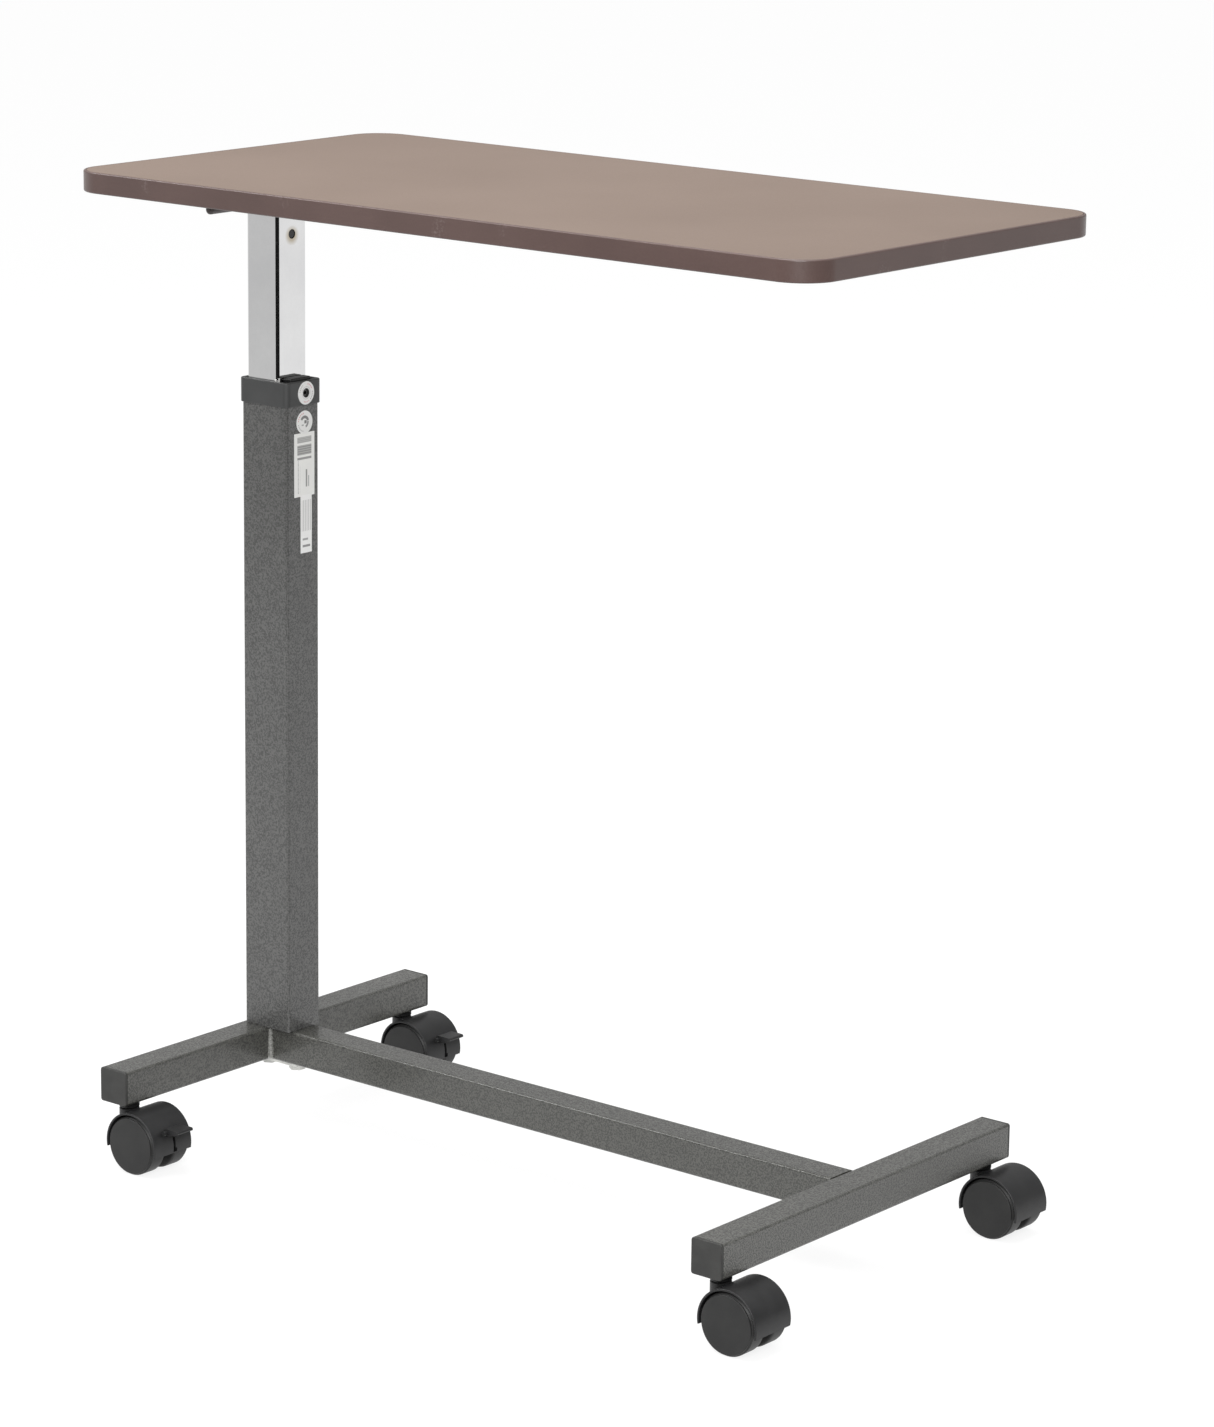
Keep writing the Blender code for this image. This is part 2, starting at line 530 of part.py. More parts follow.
def build_column():
    """Painted column with its collar, the guide block beside the mast and that block's screw."""
    paint = material("column_paint", (0.11, 0.11, 0.105), 0.4, 0.3)
    black = material("collar_plastic", (0.03, 0.03, 0.03), 0.45, 0)
    bottom = BASE_TOP + TOUCH
    top = COLLAR_TOP - COLLAR_LIP - TOUCH
    column = tube("outer_column", COLUMN_LENGTH, COLUMN_WIDTH, COLUMN_CORNER, COLUMN_WALL,
                  top - bottom, paint, location=(COLUMN_X, 0, (top + bottom) / 2))

    skirt = COLUMN_LENGTH + 2 * COLLAR_OVERHANG, COLUMN_WIDTH + 2 * COLLAR_OVERHANG
    inside = COLUMN_LENGTH + 2 * TOUCH, COLUMN_WIDTH + 2 * TOUCH, COLUMN_CORNER + TOUCH
    mouth = (COLUMN_LENGTH - 2 * COLUMN_WALL - 2 * TOUCH, COLUMN_WIDTH - 2 * COLUMN_WALL - TOUCH,
             0.0015)
    corner = COLUMN_CORNER + COLLAR_OVERHANG
    hem = COLLAR_TOP - COLLAR_SKIRT
    collar = loft("column_collar", [
        (*skirt, corner, hem), (*skirt, corner, COLLAR_TOP - COLLAR_EDGE),
        (skirt[0] - 2 * COLLAR_EDGE, skirt[1] - 2 * COLLAR_EDGE, corner - COLLAR_EDGE, COLLAR_TOP),
        (*mouth, COLLAR_TOP), (*mouth, COLLAR_TOP - COLLAR_LIP),
        (*inside, COLLAR_TOP - COLLAR_LIP), (*inside, hem)],
        black, closed=True, location=(COLUMN_X, 0, 0))

    outside = COLUMN_X + COLUMN_LENGTH / 2
    high = outside - COLUMN_WALL - 2 * TOUCH
    low = high - GUIDE_THICKNESS
    guide_top = COLLAR_TOP + GUIDE_RISE
    block("mast_guide_block", (low, -GUIDE_WIDTH / 2, guide_top - GUIDE_DEPTH),
          (high, GUIDE_WIDTH / 2, guide_top), black, GUIDE_EDGE)
    head = outside + COLLAR_OVERHANG
    hole = GUIDE_SCREW + 2 * TOUCH
    for piece in (column, collar):
        combine(piece, rod("screw_tool", hole, 2 * OVERCUT, rotation=ALONG_X,
                           location=(head, GUIDE_SCREW_Y, GUIDE_SCREW_Z)))
    length = head - GUIDE_SCREW_SUNK - (high + TOUCH)
    rod("guide_screw", GUIDE_SCREW, length, black, SOFT_EDGE, rotation=ALONG_X,
        location=(high + TOUCH + length / 2, GUIDE_SCREW_Y, GUIDE_SCREW_Z))


def build_base():
    """Two cross bars and a spine of square tube, with plugged ends."""
    paint = material("base_paint", (0.11, 0.11, 0.105), 0.4, 0.3)
    black = material("end_cap_plastic", (0.02, 0.02, 0.02), 0.45, 0)
    bar_tube = BAR_LENGTH - 2 * CAP_FLANGE - 2 * TOUCH
    plug = CASTOR_INSET - SLEEVE / 2 - CAP_FLANGE - CAP_PLUG_GAP
    bars = []
    for name, x in (("rear_cross_tube", REAR_BAR_X), ("front_cross_tube", FRONT_BAR_X)):
        bars.append(tube(name, BAR, BAR, BAR_CORNER, BAR_WALL, bar_tube, paint,
                         rotation=ALONG_Y, location=(x, 0, BAR_AXIS_Z)))
        inner = BAR - 2 * BAR_WALL - 2 * TOUCH
        for side, sign in (("near", -1), ("far", 1)):
            face = BAR - 2 * CAP_EDGE
            loft(name.replace("cross_tube", f"{side}_end_cap"), [
                (face, face, BAR_CORNER - CAP_EDGE, -CAP_FLANGE),
                (BAR, BAR, BAR_CORNER, CAP_EDGE - CAP_FLANGE), (BAR, BAR, BAR_CORNER, 0),
                (inner, inner, PLUG_CORNER, 0), (inner, inner, PLUG_CORNER, plug)],
                black, rotation=(sign * math.pi / 2, 0, 0),
                location=(x, sign * (BAR_LENGTH / 2 - CAP_FLANGE), BAR_AXIS_Z))
    start = REAR_BAR_X + BAR / 2 + TOUCH
    end = FRONT_BAR_X - BAR / 2 - TOUCH
    spine = tube("spine_tube", BAR, BAR, BAR_CORNER, BAR_WALL, end - start, paint,
                 rotation=ALONG_X, location=((start + end) / 2, 0, BAR_AXIS_Z))
    return bars, spine


def build_bolted_joint(rear, spine):
    """Foot block in the column, and the plate and two hex bolts that pull it onto the base."""
    steel = material("foot_block_steel", (0.2, 0.2, 0.2), 0.6, 0.8)
    zinc = material("bolt_zinc", (0.65, 0.65, 0.62), 0.35, 1)
    bottom = BASE_TOP + TOUCH
    wide = COLUMN_LENGTH - 2 * COLUMN_WALL - 2 * TOUCH
    deep = COLUMN_WIDTH - 2 * COLUMN_WALL - 2 * TOUCH
    block_top = bottom + FOOT_BLOCK
    foot = block("column_foot_block", (COLUMN_X - wide / 2, -deep / 2, bottom),
                 (COLUMN_X + wide / 2, deep / 2, block_top), steel, FOOT_BLOCK_EDGE)
    plate_top = BASE_CLEARANCE - TOUCH
    places = (("rear", REAR_BAR_X), ("spine", REAR_BAR_X + BOLT_SPACING))
    plate = block("bolt_plate",
                  (REAR_BAR_X - BOLT_PLATE_MARGIN, -BOLT_PLATE_WIDTH / 2, plate_top - BOLT_PLATE),
                  (REAR_BAR_X + BOLT_SPACING + BOLT_PLATE_MARGIN, BOLT_PLATE_WIDTH / 2, plate_top),
                  zinc, BOLT_PLATE_EDGE)
    head_top = plate_top - BOLT_PLATE - TOUCH
    head_bottom = head_top - BOLT_HEAD
    head_radius = BOLT_FLATS / math.sqrt(3)
    tip = block_top - BOLT_COVER
    for name, x in places:
        for piece in (foot, plate, rear if name == "rear" else spine):
            combine(piece, rod("bolt_tool", BOLT + 2 * TOUCH, 2 * (tip + TOUCH - BASE_CLEARANCE),
                               location=(x, 0, BASE_CLEARANCE)))
        bolt = turned(f"{name}_bolt", [
            (0, head_bottom), (head_radius - BOLT_HEAD_EDGE, head_bottom),
            (head_radius, head_bottom + BOLT_HEAD_EDGE), (head_radius, head_top), (0, head_top)],
            zinc, 6, location=(x, 0, 0))
        shank = tip - head_top + BOLT_HEAD / 2
        combine(bolt, rod("shank_tool", BOLT, shank, location=(x, 0, tip - shank / 2)), "UNION")


def hood_mesh(finish, braked):
    """Twin-wheel hood: an arch over both wheels, the web between them and the stem's boss."""
    centre = (TRAIL, WHEEL / 2)
    dip = math.asin((centre[1] - HOOD_HEM) / HOOD_OUTER)
    hood = extruded("hood_tool", arc(centre, HOOD_OUTER, -dip, math.pi + dip, 18), HOOD_WIDTH, finish)
    low = WHEEL * BOSS_ROOT
    combine(hood, rod("boss_tool", BOSS, BOSS_TOP - low, steps=16, location=(0, 0, (BOSS_TOP + low) / 2)),
            "UNION")
    if braked:
        pivot = pedal_pivot()
        foot = arc(centre, HOOD_OUTER - LUG_SUNK, PEDAL_ANGLE + LUG_SPREAD, PEDAL_ANGLE - LUG_SPREAD, 1)
        round_end = math.pi * 0.45
        lug = arc(pivot, PEDAL_HUB + LUG_MARGIN, PEDAL_ANGLE - round_end, PEDAL_ANGLE + round_end, 8)
        for side in (-1, 1):
            y = side * (PEDAL_WIDTH / 2 + SLIDE + PEDAL_LUG / 2)
            combine(hood, extruded("lug_tool", lug + foot, PEDAL_LUG, location=(0, y, 0)), "UNION")
        combine(hood, rod("pivot_tool", PEDAL_PIN + 2 * SPIN, 2 * HOOD_WIDTH, rotation=ALONG_Y,
                          location=(pivot[0], 0, pivot[1])))
    for side in (-1, 1):
        y = side * (WEB / 2 + HOOD_WIDTH / 2)
        combine(hood, rod("wheel_tool", 2 * HOOD_INNER, HOOD_WIDTH, steps=32, rotation=ALONG_Y,
                          location=(centre[0], y, centre[1])))
    combine(hood, rod("axle_tool", AXLE + 2 * TOUCH, HOOD_WIDTH, rotation=ALONG_Y,
                      location=(centre[0], 0, centre[1])))
    combine(hood, rod("stem_tool", STEM + 2 * TOUCH, 2 * STEM_DEPTH, location=(0, 0, BOSS_TOP)))
    mesh = hood.data
    bpy.data.objects.remove(hood, do_unlink=True)
    return mesh


def pedal_pivot():
    """Pivot of the brake pedal, in the castor's own X and Z."""
    radius = HOOD_OUTER + PEDAL_HUB + PEDAL_GAP
    return (TRAIL + radius * math.cos(PEDAL_ANGLE), WHEEL / 2 + radius * math.sin(PEDAL_ANGLE))


def build_castor(name, x, y, hood, braked, finishes):
    """One twin-wheel castor, trailing towards +X, with its parts under the swivel axis."""
    plastic, rubber, steel = finishes
    swivel = empty(f"{name}_swivel_axis", (x, y, 0))
    cover = bpy.data.objects.new(f"{name}_hood", hood)
    cover.parent = swivel
    bpy.context.scene.collection.objects.link(cover)

    neck_top = BASE_CLEARANCE - TOUCH
    bore = STEM / 2 + SPIN
    turned(f"{name}_socket", [
        (bore, NECK_BOTTOM), (NECK / 2 - NECK_EDGE, NECK_BOTTOM), (NECK / 2, NECK_BOTTOM + NECK_EDGE),
        (NECK / 2, neck_top), (SLEEVE / 2, neck_top), (SLEEVE / 2, neck_top + SLEEVE_RISE),
        (bore, neck_top + SLEEVE_RISE)], plastic, 16, closed=True, location=(x, y, 0))
    stem_bottom = BOSS_TOP - STEM_DEPTH + TOUCH
    stem_top = neck_top + SLEEVE_RISE - STEM_SHORT
    rod(f"{name}_stem", STEM, stem_top - stem_bottom, steel, STEM_EDGE,
        location=(0, 0, (stem_bottom + stem_top) / 2), parent=swivel)

    radius = WHEEL / 2
    inner = WEB / 2 + TOUCH
    well = WHEEL_FACE - AXLE_COVER
    rim = WHEEL_FACE - CROWN
    profile = [
        (0, WHEEL_FACE), (radius * CROWN_RADIUS, WHEEL_FACE - CROWN / 4), (radius - TREAD_ROUND, rim),
        (radius, rim - TREAD_ROUND), (radius, inner + TREAD_CHAMFER),
        (radius - TREAD_CHAMFER, inner), (AXLE / 2 + SPIN, inner), (AXLE / 2 + SPIN, well), (0, well)]
    for side, sign in (("near", -1), ("far", 1)):
        turned(f"{name}_{side}_wheel", profile, rubber, 24, rotation=(-sign * math.pi / 2, 0, 0),
               location=(TRAIL, 0, radius), parent=swivel)
    rod(f"{name}_axle", AXLE, 2 * (well - TOUCH), steel, SOFT_EDGE, rotation=ALONG_Y,
        location=(TRAIL, 0, radius), parent=swivel)

    if braked:
        pivot = pedal_pivot()
        tip = (PEDAL_LENGTH - PEDAL_TIP, PEDAL_TIP_RISE)
        side_view = (arc((0, 0), PEDAL_HUB, math.pi / 2, math.pi * 3 / 2, 8)
                     + arc(tip, PEDAL_TIP, -math.pi / 2, math.pi / 2, 4))
        pedal = extruded(f"{name}_brake_pedal", side_view, PEDAL_WIDTH, plastic,
                         location=(pivot[0], 0, pivot[1]), parent=swivel)
        length = PEDAL_WIDTH + 2 * PEDAL_LUG + 2 * SLIDE
        combine(pedal, rod("trunnion_tool", PEDAL_PIN, length, rotation=ALONG_Y,
                           location=(pivot[0], 0, pivot[1]), parent=swivel), "UNION")


def build_castors(bars):
    """Four castors near the ends of the cross bars; the two under the column have brakes."""
    plastic = material("castor_plastic", (0.02, 0.02, 0.02), 0.45, 0)
    rubber = material("castor_tread", (0.03, 0.03, 0.03), 0.7, 0)
    steel = material("castor_steel", (0.5, 0.5, 0.5), 0.35, 1)
    offset = BAR_LENGTH / 2 - CASTOR_INSET
    for end, x, bar in (("rear", REAR_BAR_X, bars[0]), ("front", FRONT_BAR_X, bars[1])):
        braked = end == "rear"
        hood = hood_mesh(plastic, braked)
        for side, y in (("near", -offset), ("far", offset)):
            combine(bar, rod("socket_tool", SLEEVE + 2 * TOUCH, BAR, steps=16,
                             location=(x, y, BASE_CLEARANCE)))
            build_castor(f"{end}_{side}", x, y, hood, braked, (plastic, rubber, steel))


clear_scene()
tabletop_core, tabletop_backer = build_tabletop()
build_channel(tabletop_core, tabletop_backer)
build_release()
build_mast()
build_gas_spring()
build_column()
cross_bars, spine_bar = build_base()
build_bolted_joint(cross_bars[0], spine_bar)
build_castors(cross_bars)
bpy.context.view_layer.update()
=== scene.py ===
import math

import bmesh
import bpy
from mathutils import Matrix, Vector


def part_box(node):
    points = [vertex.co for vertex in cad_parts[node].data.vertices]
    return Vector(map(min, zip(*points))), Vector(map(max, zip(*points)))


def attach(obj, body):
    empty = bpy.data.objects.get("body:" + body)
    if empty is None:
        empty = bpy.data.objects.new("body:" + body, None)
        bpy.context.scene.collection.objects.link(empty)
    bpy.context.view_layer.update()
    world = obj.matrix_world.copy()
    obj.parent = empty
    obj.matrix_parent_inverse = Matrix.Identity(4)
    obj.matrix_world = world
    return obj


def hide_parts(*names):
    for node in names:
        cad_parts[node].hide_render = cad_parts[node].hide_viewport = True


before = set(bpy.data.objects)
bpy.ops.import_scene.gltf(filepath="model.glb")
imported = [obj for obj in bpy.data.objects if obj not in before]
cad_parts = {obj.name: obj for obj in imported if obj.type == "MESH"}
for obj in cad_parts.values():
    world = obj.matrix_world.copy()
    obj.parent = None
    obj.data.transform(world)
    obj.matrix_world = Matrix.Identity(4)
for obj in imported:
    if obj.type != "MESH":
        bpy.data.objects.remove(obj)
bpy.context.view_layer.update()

# ---------------------------------------------------------------------------------------------
# Camera. It stands in front of the bed side of the table, to the right of the column, a little
# above the tabletop, with a long lens.
CAMERA_PLACE = (2.4197, -2.9303, 1.3430)
CAMERA_TURN = math.radians(39.05)
CAMERA_DIP = math.radians(13.636)
CAMERA_ROLL = math.radians(0.748)

lens = bpy.data.cameras.new("camera")
lens.sensor_width = 36.0
lens.lens = 119.80
camera = bpy.data.objects.new("camera", lens)
camera.matrix_world = (
    Matrix.Translation(CAMERA_PLACE)
    @ Matrix.Rotation(CAMERA_TURN, 4, "Z")
    @ Matrix.Rotation(math.pi / 2 - CAMERA_DIP, 4, "X")
    @ Matrix.Rotation(CAMERA_ROLL, 4, "Z")
)
bpy.context.scene.collection.objects.link(camera)
bpy.context.scene.camera = camera
bpy.context.scene.view_settings.view_transform = "Standard"

# ---------------------------------------------------------------------------------------------
# Studio. A pale floor, a soft box overhead and a pale sky. Two curved panels out of the camera's
# sight, one black and one grey, are what the chrome mast mirrors.
FLOOR_SIZE = 60.0
SKY_LOW = 0.40
SKY_HIGH = 0.85
SKY_SEEN = 1.05
TABLE_MIDDLE = (0, 0, 0.5)
PANEL_RADIUS = 2.3
PANEL_HEIGHT = 0.66
PANEL_LIFT = 0.002
PANEL_STEPS = 24


def link_nodes(tree, start, start_socket, end, end_socket):
    tree.links.new(start.outputs[start_socket], end.inputs[end_socket])


def wire(tree, *links):
    """Make links given as (start, its socket, end, its socket)."""
    for link in links:
        link_nodes(tree, *link)


def mesh_object(name, bm):
    """A bmesh as a new object whose place is in its mesh."""
    mesh = bpy.data.meshes.new(name)
    bm.to_mesh(mesh)
    bm.free()
    item = bpy.data.objects.new(name, mesh)
    bpy.context.scene.collection.objects.link(item)
    return item


def glowing(name, colour, seen, unseen):
    """A surface that the camera and mirrors see at one brightness, and soft light at another."""
    made = bpy.data.materials.new(name)
    made.use_nodes = True
    tree = made.node_tree
    shader = tree.nodes["Principled BSDF"]
    shader.inputs["Base Color"].default_value = (*colour, 1)
    shader.inputs["Roughness"].default_value = 0.9
    shader.inputs["Specular IOR Level"].default_value = 0
    shader.inputs["Emission Color"].default_value = (1, 1, 1, 1)
    path = tree.nodes.new("ShaderNodeLightPath")
    level = tree.nodes.new("ShaderNodeMapRange")
    level.inputs["To Min"].default_value = seen
    level.inputs["To Max"].default_value = unseen
    link_nodes(tree, path, "Is Diffuse Ray", level, "Value")
    link_nodes(tree, level, "Result", shader, "Emission Strength")
    return made


bm = bmesh.new()
bmesh.ops.create_grid(bm, x_segments=1, y_segments=1, size=FLOOR_SIZE / 2)
floor = mesh_object("floor", bm)
floor.data.materials.append(glowing("pale_floor", (0.20, 0.20, 0.20), 0.84, 0.18))

# Each panel has its start and end angle round the mast, from -Y towards +X, and its brightness.
mast_low, mast_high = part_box("inner_mast")
MAST_X = (mast_low.x + mast_high.x) / 2
for name, start, end, seen in (("black_panel", -28, 118, 0.012), ("grey_panel", -62, -31, 0.70)):
    bm = bmesh.new()
    from_angle = math.radians(start)
    foot = Vector((MAST_X + PANEL_RADIUS * math.sin(from_angle), -PANEL_RADIUS * math.cos(from_angle),
                   PANEL_LIFT))
    ends = [bm.verts.new(foot), bm.verts.new(foot + Vector((0, 0, PANEL_HEIGHT)))]
    edge = bm.edges.new(ends)
    bmesh.ops.spin(bm, geom=ends + [edge], cent=(MAST_X, 0, 0), axis=(0, 0, 1), dvec=(0, 0, 0),
                   angle=math.radians(end - start), steps=PANEL_STEPS)
    panel = mesh_object(name, bm)
    panel.data.materials.append(glowing(name, (0, 0, 0), seen, seen))
    panel.visible_camera = False
    panel.visible_diffuse = False
    panel.visible_shadow = False

# Each soft box has its place, its width and its watts, and faces the middle of the table.
for name, place, size, power in (("overhead_box", (-0.1, -0.4, 3.2), 2.4, 88),
                                 ("front_box", (2.0, -2.9, 2.0), 1.6, 104),
                                 ("edge_box", (-1.7, -1.1, 2.1), 0.7, 16)):
    lamp = bpy.data.lights.new(name, "AREA")
    lamp.shape = "SQUARE"
    lamp.size = size
    lamp.energy = power
    lamp_stand = bpy.data.objects.new(name, lamp)
    aim = (Vector(TABLE_MIDDLE) - Vector(place)).to_track_quat("-Z", "Y")
    lamp_stand.matrix_world = Matrix.Translation(place) @ aim.to_matrix().to_4x4()
    bpy.context.scene.collection.objects.link(lamp_stand)

world = bpy.data.worlds.new("pale_sky")
bpy.context.scene.world = world
world.use_nodes = True
tree = world.node_tree
sky = tree.nodes["Background"]
sky.inputs["Color"].default_value = (1, 1, 1, 1)
direction = tree.nodes.new("ShaderNodeTexCoord")
split = tree.nodes.new("ShaderNodeSeparateXYZ")
rise = tree.nodes.new("ShaderNodeMapRange")
rise.inputs["To Min"].default_value = SKY_LOW
rise.inputs["To Max"].default_value = SKY_HIGH
seen_by = tree.nodes.new("ShaderNodeLightPath")
final = tree.nodes.new("ShaderNodeMapRange")
final.inputs["To Max"].default_value = SKY_SEEN
wire(tree, (direction, "Generated", split, "Vector"), (split, "Z", rise, "Value"),
     (seen_by, "Is Camera Ray", final, "Value"), (rise, "Result", final, "To Min"),
     (final, "Result", sky, "Strength"))

# ---------------------------------------------------------------------------------------------
# Tabletop laminate. A thin matte decorative sheet, taupe with a faint cloudy tone, glued over
# the whole board up to the edge band, with its cut edge just eased.
CORNER_STEPS = 24
LAMINATE_EASE = 0.00025

top_low, top_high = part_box("edge_band")
laminate_low, laminate_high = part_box("tabletop_laminate")
TOP_CORNER = 0.032
BAND = laminate_low.x - top_low.x


def weld_and_face_out(bm):
    bmesh.ops.remove_doubles(bm, verts=bm.verts, dist=0.000005)
    bmesh.ops.recalc_face_normals(bm, faces=bm.faces)


def rounded_plate(low, high, corner, steps, ease=0.0):
    """A flat plate with round corners in plan, its upper rim eased."""
    low, high = Vector(low), Vector(high)
    middle = (low + high) / 2
    bm = bmesh.new()
    bmesh.ops.create_grid(bm, x_segments=1, y_segments=1, size=0.5)
    bmesh.ops.scale(bm, vec=(high.x - low.x, high.y - low.y, 1), verts=bm.verts)
    bmesh.ops.translate(bm, vec=(middle.x, middle.y, low.z), verts=bm.verts)
    bmesh.ops.bevel(bm, geom=bm.verts[:], offset=corner, offset_type="OFFSET", segments=steps,
                    profile=0.5, affect="VERTICES", material=-1)
    grown = bmesh.ops.extrude_face_region(bm, geom=bm.faces[:])["geom"]
    raised = [part for part in grown if isinstance(part, bmesh.types.BMVert)]
    bmesh.ops.translate(bm, vec=(0, 0, high.z - low.z), verts=raised)
    weld_and_face_out(bm)
    if ease:
        rim = [e for e in bm.edges if all(v.co.z > high.z - 1e-6 for v in e.verts)]
        bmesh.ops.bevel(bm, geom=rim, offset=ease, segments=2, profile=0.5, affect="EDGES",
                        material=-1)
    return bm


def set_piece(name, bm, body, finish, nodes=(), sharp=35):
    """Turn a bmesh into a piece of the table that rides on a body and takes a finish."""
    item = mesh_object(name, bm)
    item.data.materials.append(finish)
    item.data.shade_smooth()
    item.data.set_sharp_from_angle(angle=math.radians(sharp))
    even = item.modifiers.new("weighted_normal", "WEIGHTED_NORMAL")
    even.keep_sharp = True
    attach(item, body)
    if nodes:
        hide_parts(*nodes)
    return item


def new_finish(name, **constants):
    """A material and its Principled shader, with the numbers that are the same all over."""
    made = bpy.data.materials.new(name)
    made.use_nodes = True
    shader = made.node_tree.nodes["Principled BSDF"]
    for socket, value in constants.items():
        shader.inputs[socket.replace("_", " ")].default_value = value
    return made, shader


def new_effect(name, inputs, outputs):
    """An empty shader node group with named sockets, and its two end nodes."""
    group = bpy.data.node_groups.new(name, "ShaderNodeTree")
    for label, value in inputs:
        kind = "NodeSocketColor" if isinstance(value, tuple) else "NodeSocketFloat"
        socket = group.interface.new_socket(label, in_out="INPUT", socket_type=kind)
        socket.default_value = value
    for label, kind in outputs:
        group.interface.new_socket(label, in_out="OUTPUT", socket_type=kind)
    return group, group.nodes.new("NodeGroupInput"), group.nodes.new("NodeGroupOutput")


def add_node(tree, kind, **settings):
    """A node, with each setting given to the input of that name or else to the node itself."""
    made = tree.nodes.new(kind)
    for key, value in settings.items():
        if key in made.inputs:
            made.inputs[key].default_value = value
        elif key.replace("_", " ") in made.inputs:
            made.inputs[key.replace("_", " ")].default_value = value
        else:
            setattr(made, key, value)
    return made


def sum_node(tree, operation, **values):
    """A Math node with some of its values set: first is its upper socket, second its lower."""
    made = add_node(tree, "ShaderNodeMath", operation=operation)
    for place, value in values.items():
        made.inputs[("first", "second").index(place)].default_value = value
    return made


def colour_mix(tree):
    """A colour Mix node, whose sockets are Factor 0, A 6, B 7 and Result 2."""
    return add_node(tree, "ShaderNodeMix", data_type="RGBA")


# Cloudy tone: a slow drift between two colours, with a finer grain over it.
cloudy, into, out = new_effect(
    "cloudy_tone",
    [("Colour A", (0.5, 0.5, 0.5, 1)), ("Colour B", (0.6, 0.6, 0.6, 1)), ("Cloud Scale", 5.0),
     ("Grain Scale", 900.0), ("Grain", 0.1)],
    [("Color", "NodeSocketColor"), ("Height", "NodeSocketFloat")])
where = cloudy.nodes.new("ShaderNodeTexCoord")
cloud = add_node(cloudy, "ShaderNodeTexNoise", Detail=3.0, Roughness=0.5)
grain = add_node(cloudy, "ShaderNodeTexNoise", Detail=4.0, Roughness=0.6)
spread = add_node(cloudy, "ShaderNodeMapRange", From_Min=0.35, From_Max=0.65)
tone = colour_mix(cloudy)
shade = add_node(cloudy, "ShaderNodeMapRange", From_Min=0.3, From_Max=0.7)
low_end = sum_node(cloudy, "SUBTRACT", first=1.0)
high_end = sum_node(cloudy, "ADD", first=1.0)
scaled = add_node(cloudy, "ShaderNodeVectorMath", operation="SCALE")
wire(cloudy, (where, "Object", cloud, "Vector"), (where, "Object", grain, "Vector"),
     (into, "Cloud Scale", cloud, "Scale"), (into, "Grain Scale", grain, "Scale"),
     (cloud, "Fac", spread, "Value"), (spread, "Result", tone, 0), (into, "Colour A", tone, 6),
     (into, "Colour B", tone, 7), (into, "Grain", low_end, 1), (into, "Grain", high_end, 1),
     (grain, "Fac", shade, "Value"), (low_end, "Value", shade, "To Min"),
     (high_end, "Value", shade, "To Max"), (tone, 2, scaled, 0), (shade, "Result", scaled, "Scale"),
     (scaled, "Vector", out, "Color"), (grain, "Fac", out, "Height"))


def cloudy_tone(tree, colour_a, colour_b, cloud, grain, amount):
    """The cloudy tone effect, set and placed in a material."""
    return add_node(tree, "ShaderNodeGroup", node_tree=cloudy, Colour_A=(*colour_a, 1),
                    Colour_B=(*colour_b, 1), Cloud_Scale=cloud, Grain_Scale=grain, Grain=amount)


def cloudy_finish(name, colour_a, colour_b, cloud, grain, amount, rough, depth, **constants):
    """A finish that drifts between two colours, with a fine grain in its roughness and surface."""
    made, shader = new_finish(name, **constants)
    tree = made.node_tree
    effect = cloudy_tone(tree, colour_a, colour_b, cloud, grain, amount)
    gloss = add_node(tree, "ShaderNodeMapRange", From_Min=0.3, From_Max=0.7, To_Min=rough[0],
                     To_Max=rough[1])
    relief = add_node(tree, "ShaderNodeBump", Strength=0.6, Distance=depth)
    wire(tree, (effect, "Color", shader, "Base Color"), (effect, "Height", gloss, "Value"),
         (gloss, "Result", shader, "Roughness"), (effect, "Height", relief, "Height"),
         (relief, "Normal", shader, "Normal"))
    return made


laminate_finish = cloudy_finish("taupe_laminate", (0.142, 0.100, 0.077), (0.159, 0.114, 0.089), 4.0, 1400.0,
                                0.03, (0.42, 0.50), 0.00002, Specular_IOR_Level=0.35)
laminate_bm = rounded_plate(laminate_low, laminate_high, TOP_CORNER - BAND, CORNER_STEPS, LAMINATE_EASE)
set_piece("tabletop_laminate_sheet", laminate_bm, "mast", laminate_finish, ["tabletop_laminate"])

# ---------------------------------------------------------------------------------------------
# Edge band. A dark brown vinyl T-moulding, pushed with its barb into a groove round the board;
# its outer arrises are round and its top meets the laminate in a fine seam.
BAND_EDGE = 0.0014
BAND_SEAM = 0.00025
GAP = 0.0003
BARB = 0.002
BARB_DEPTH = 0.0067
ARRIS_STEPS = 5

core_low, core_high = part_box("tabletop_core")


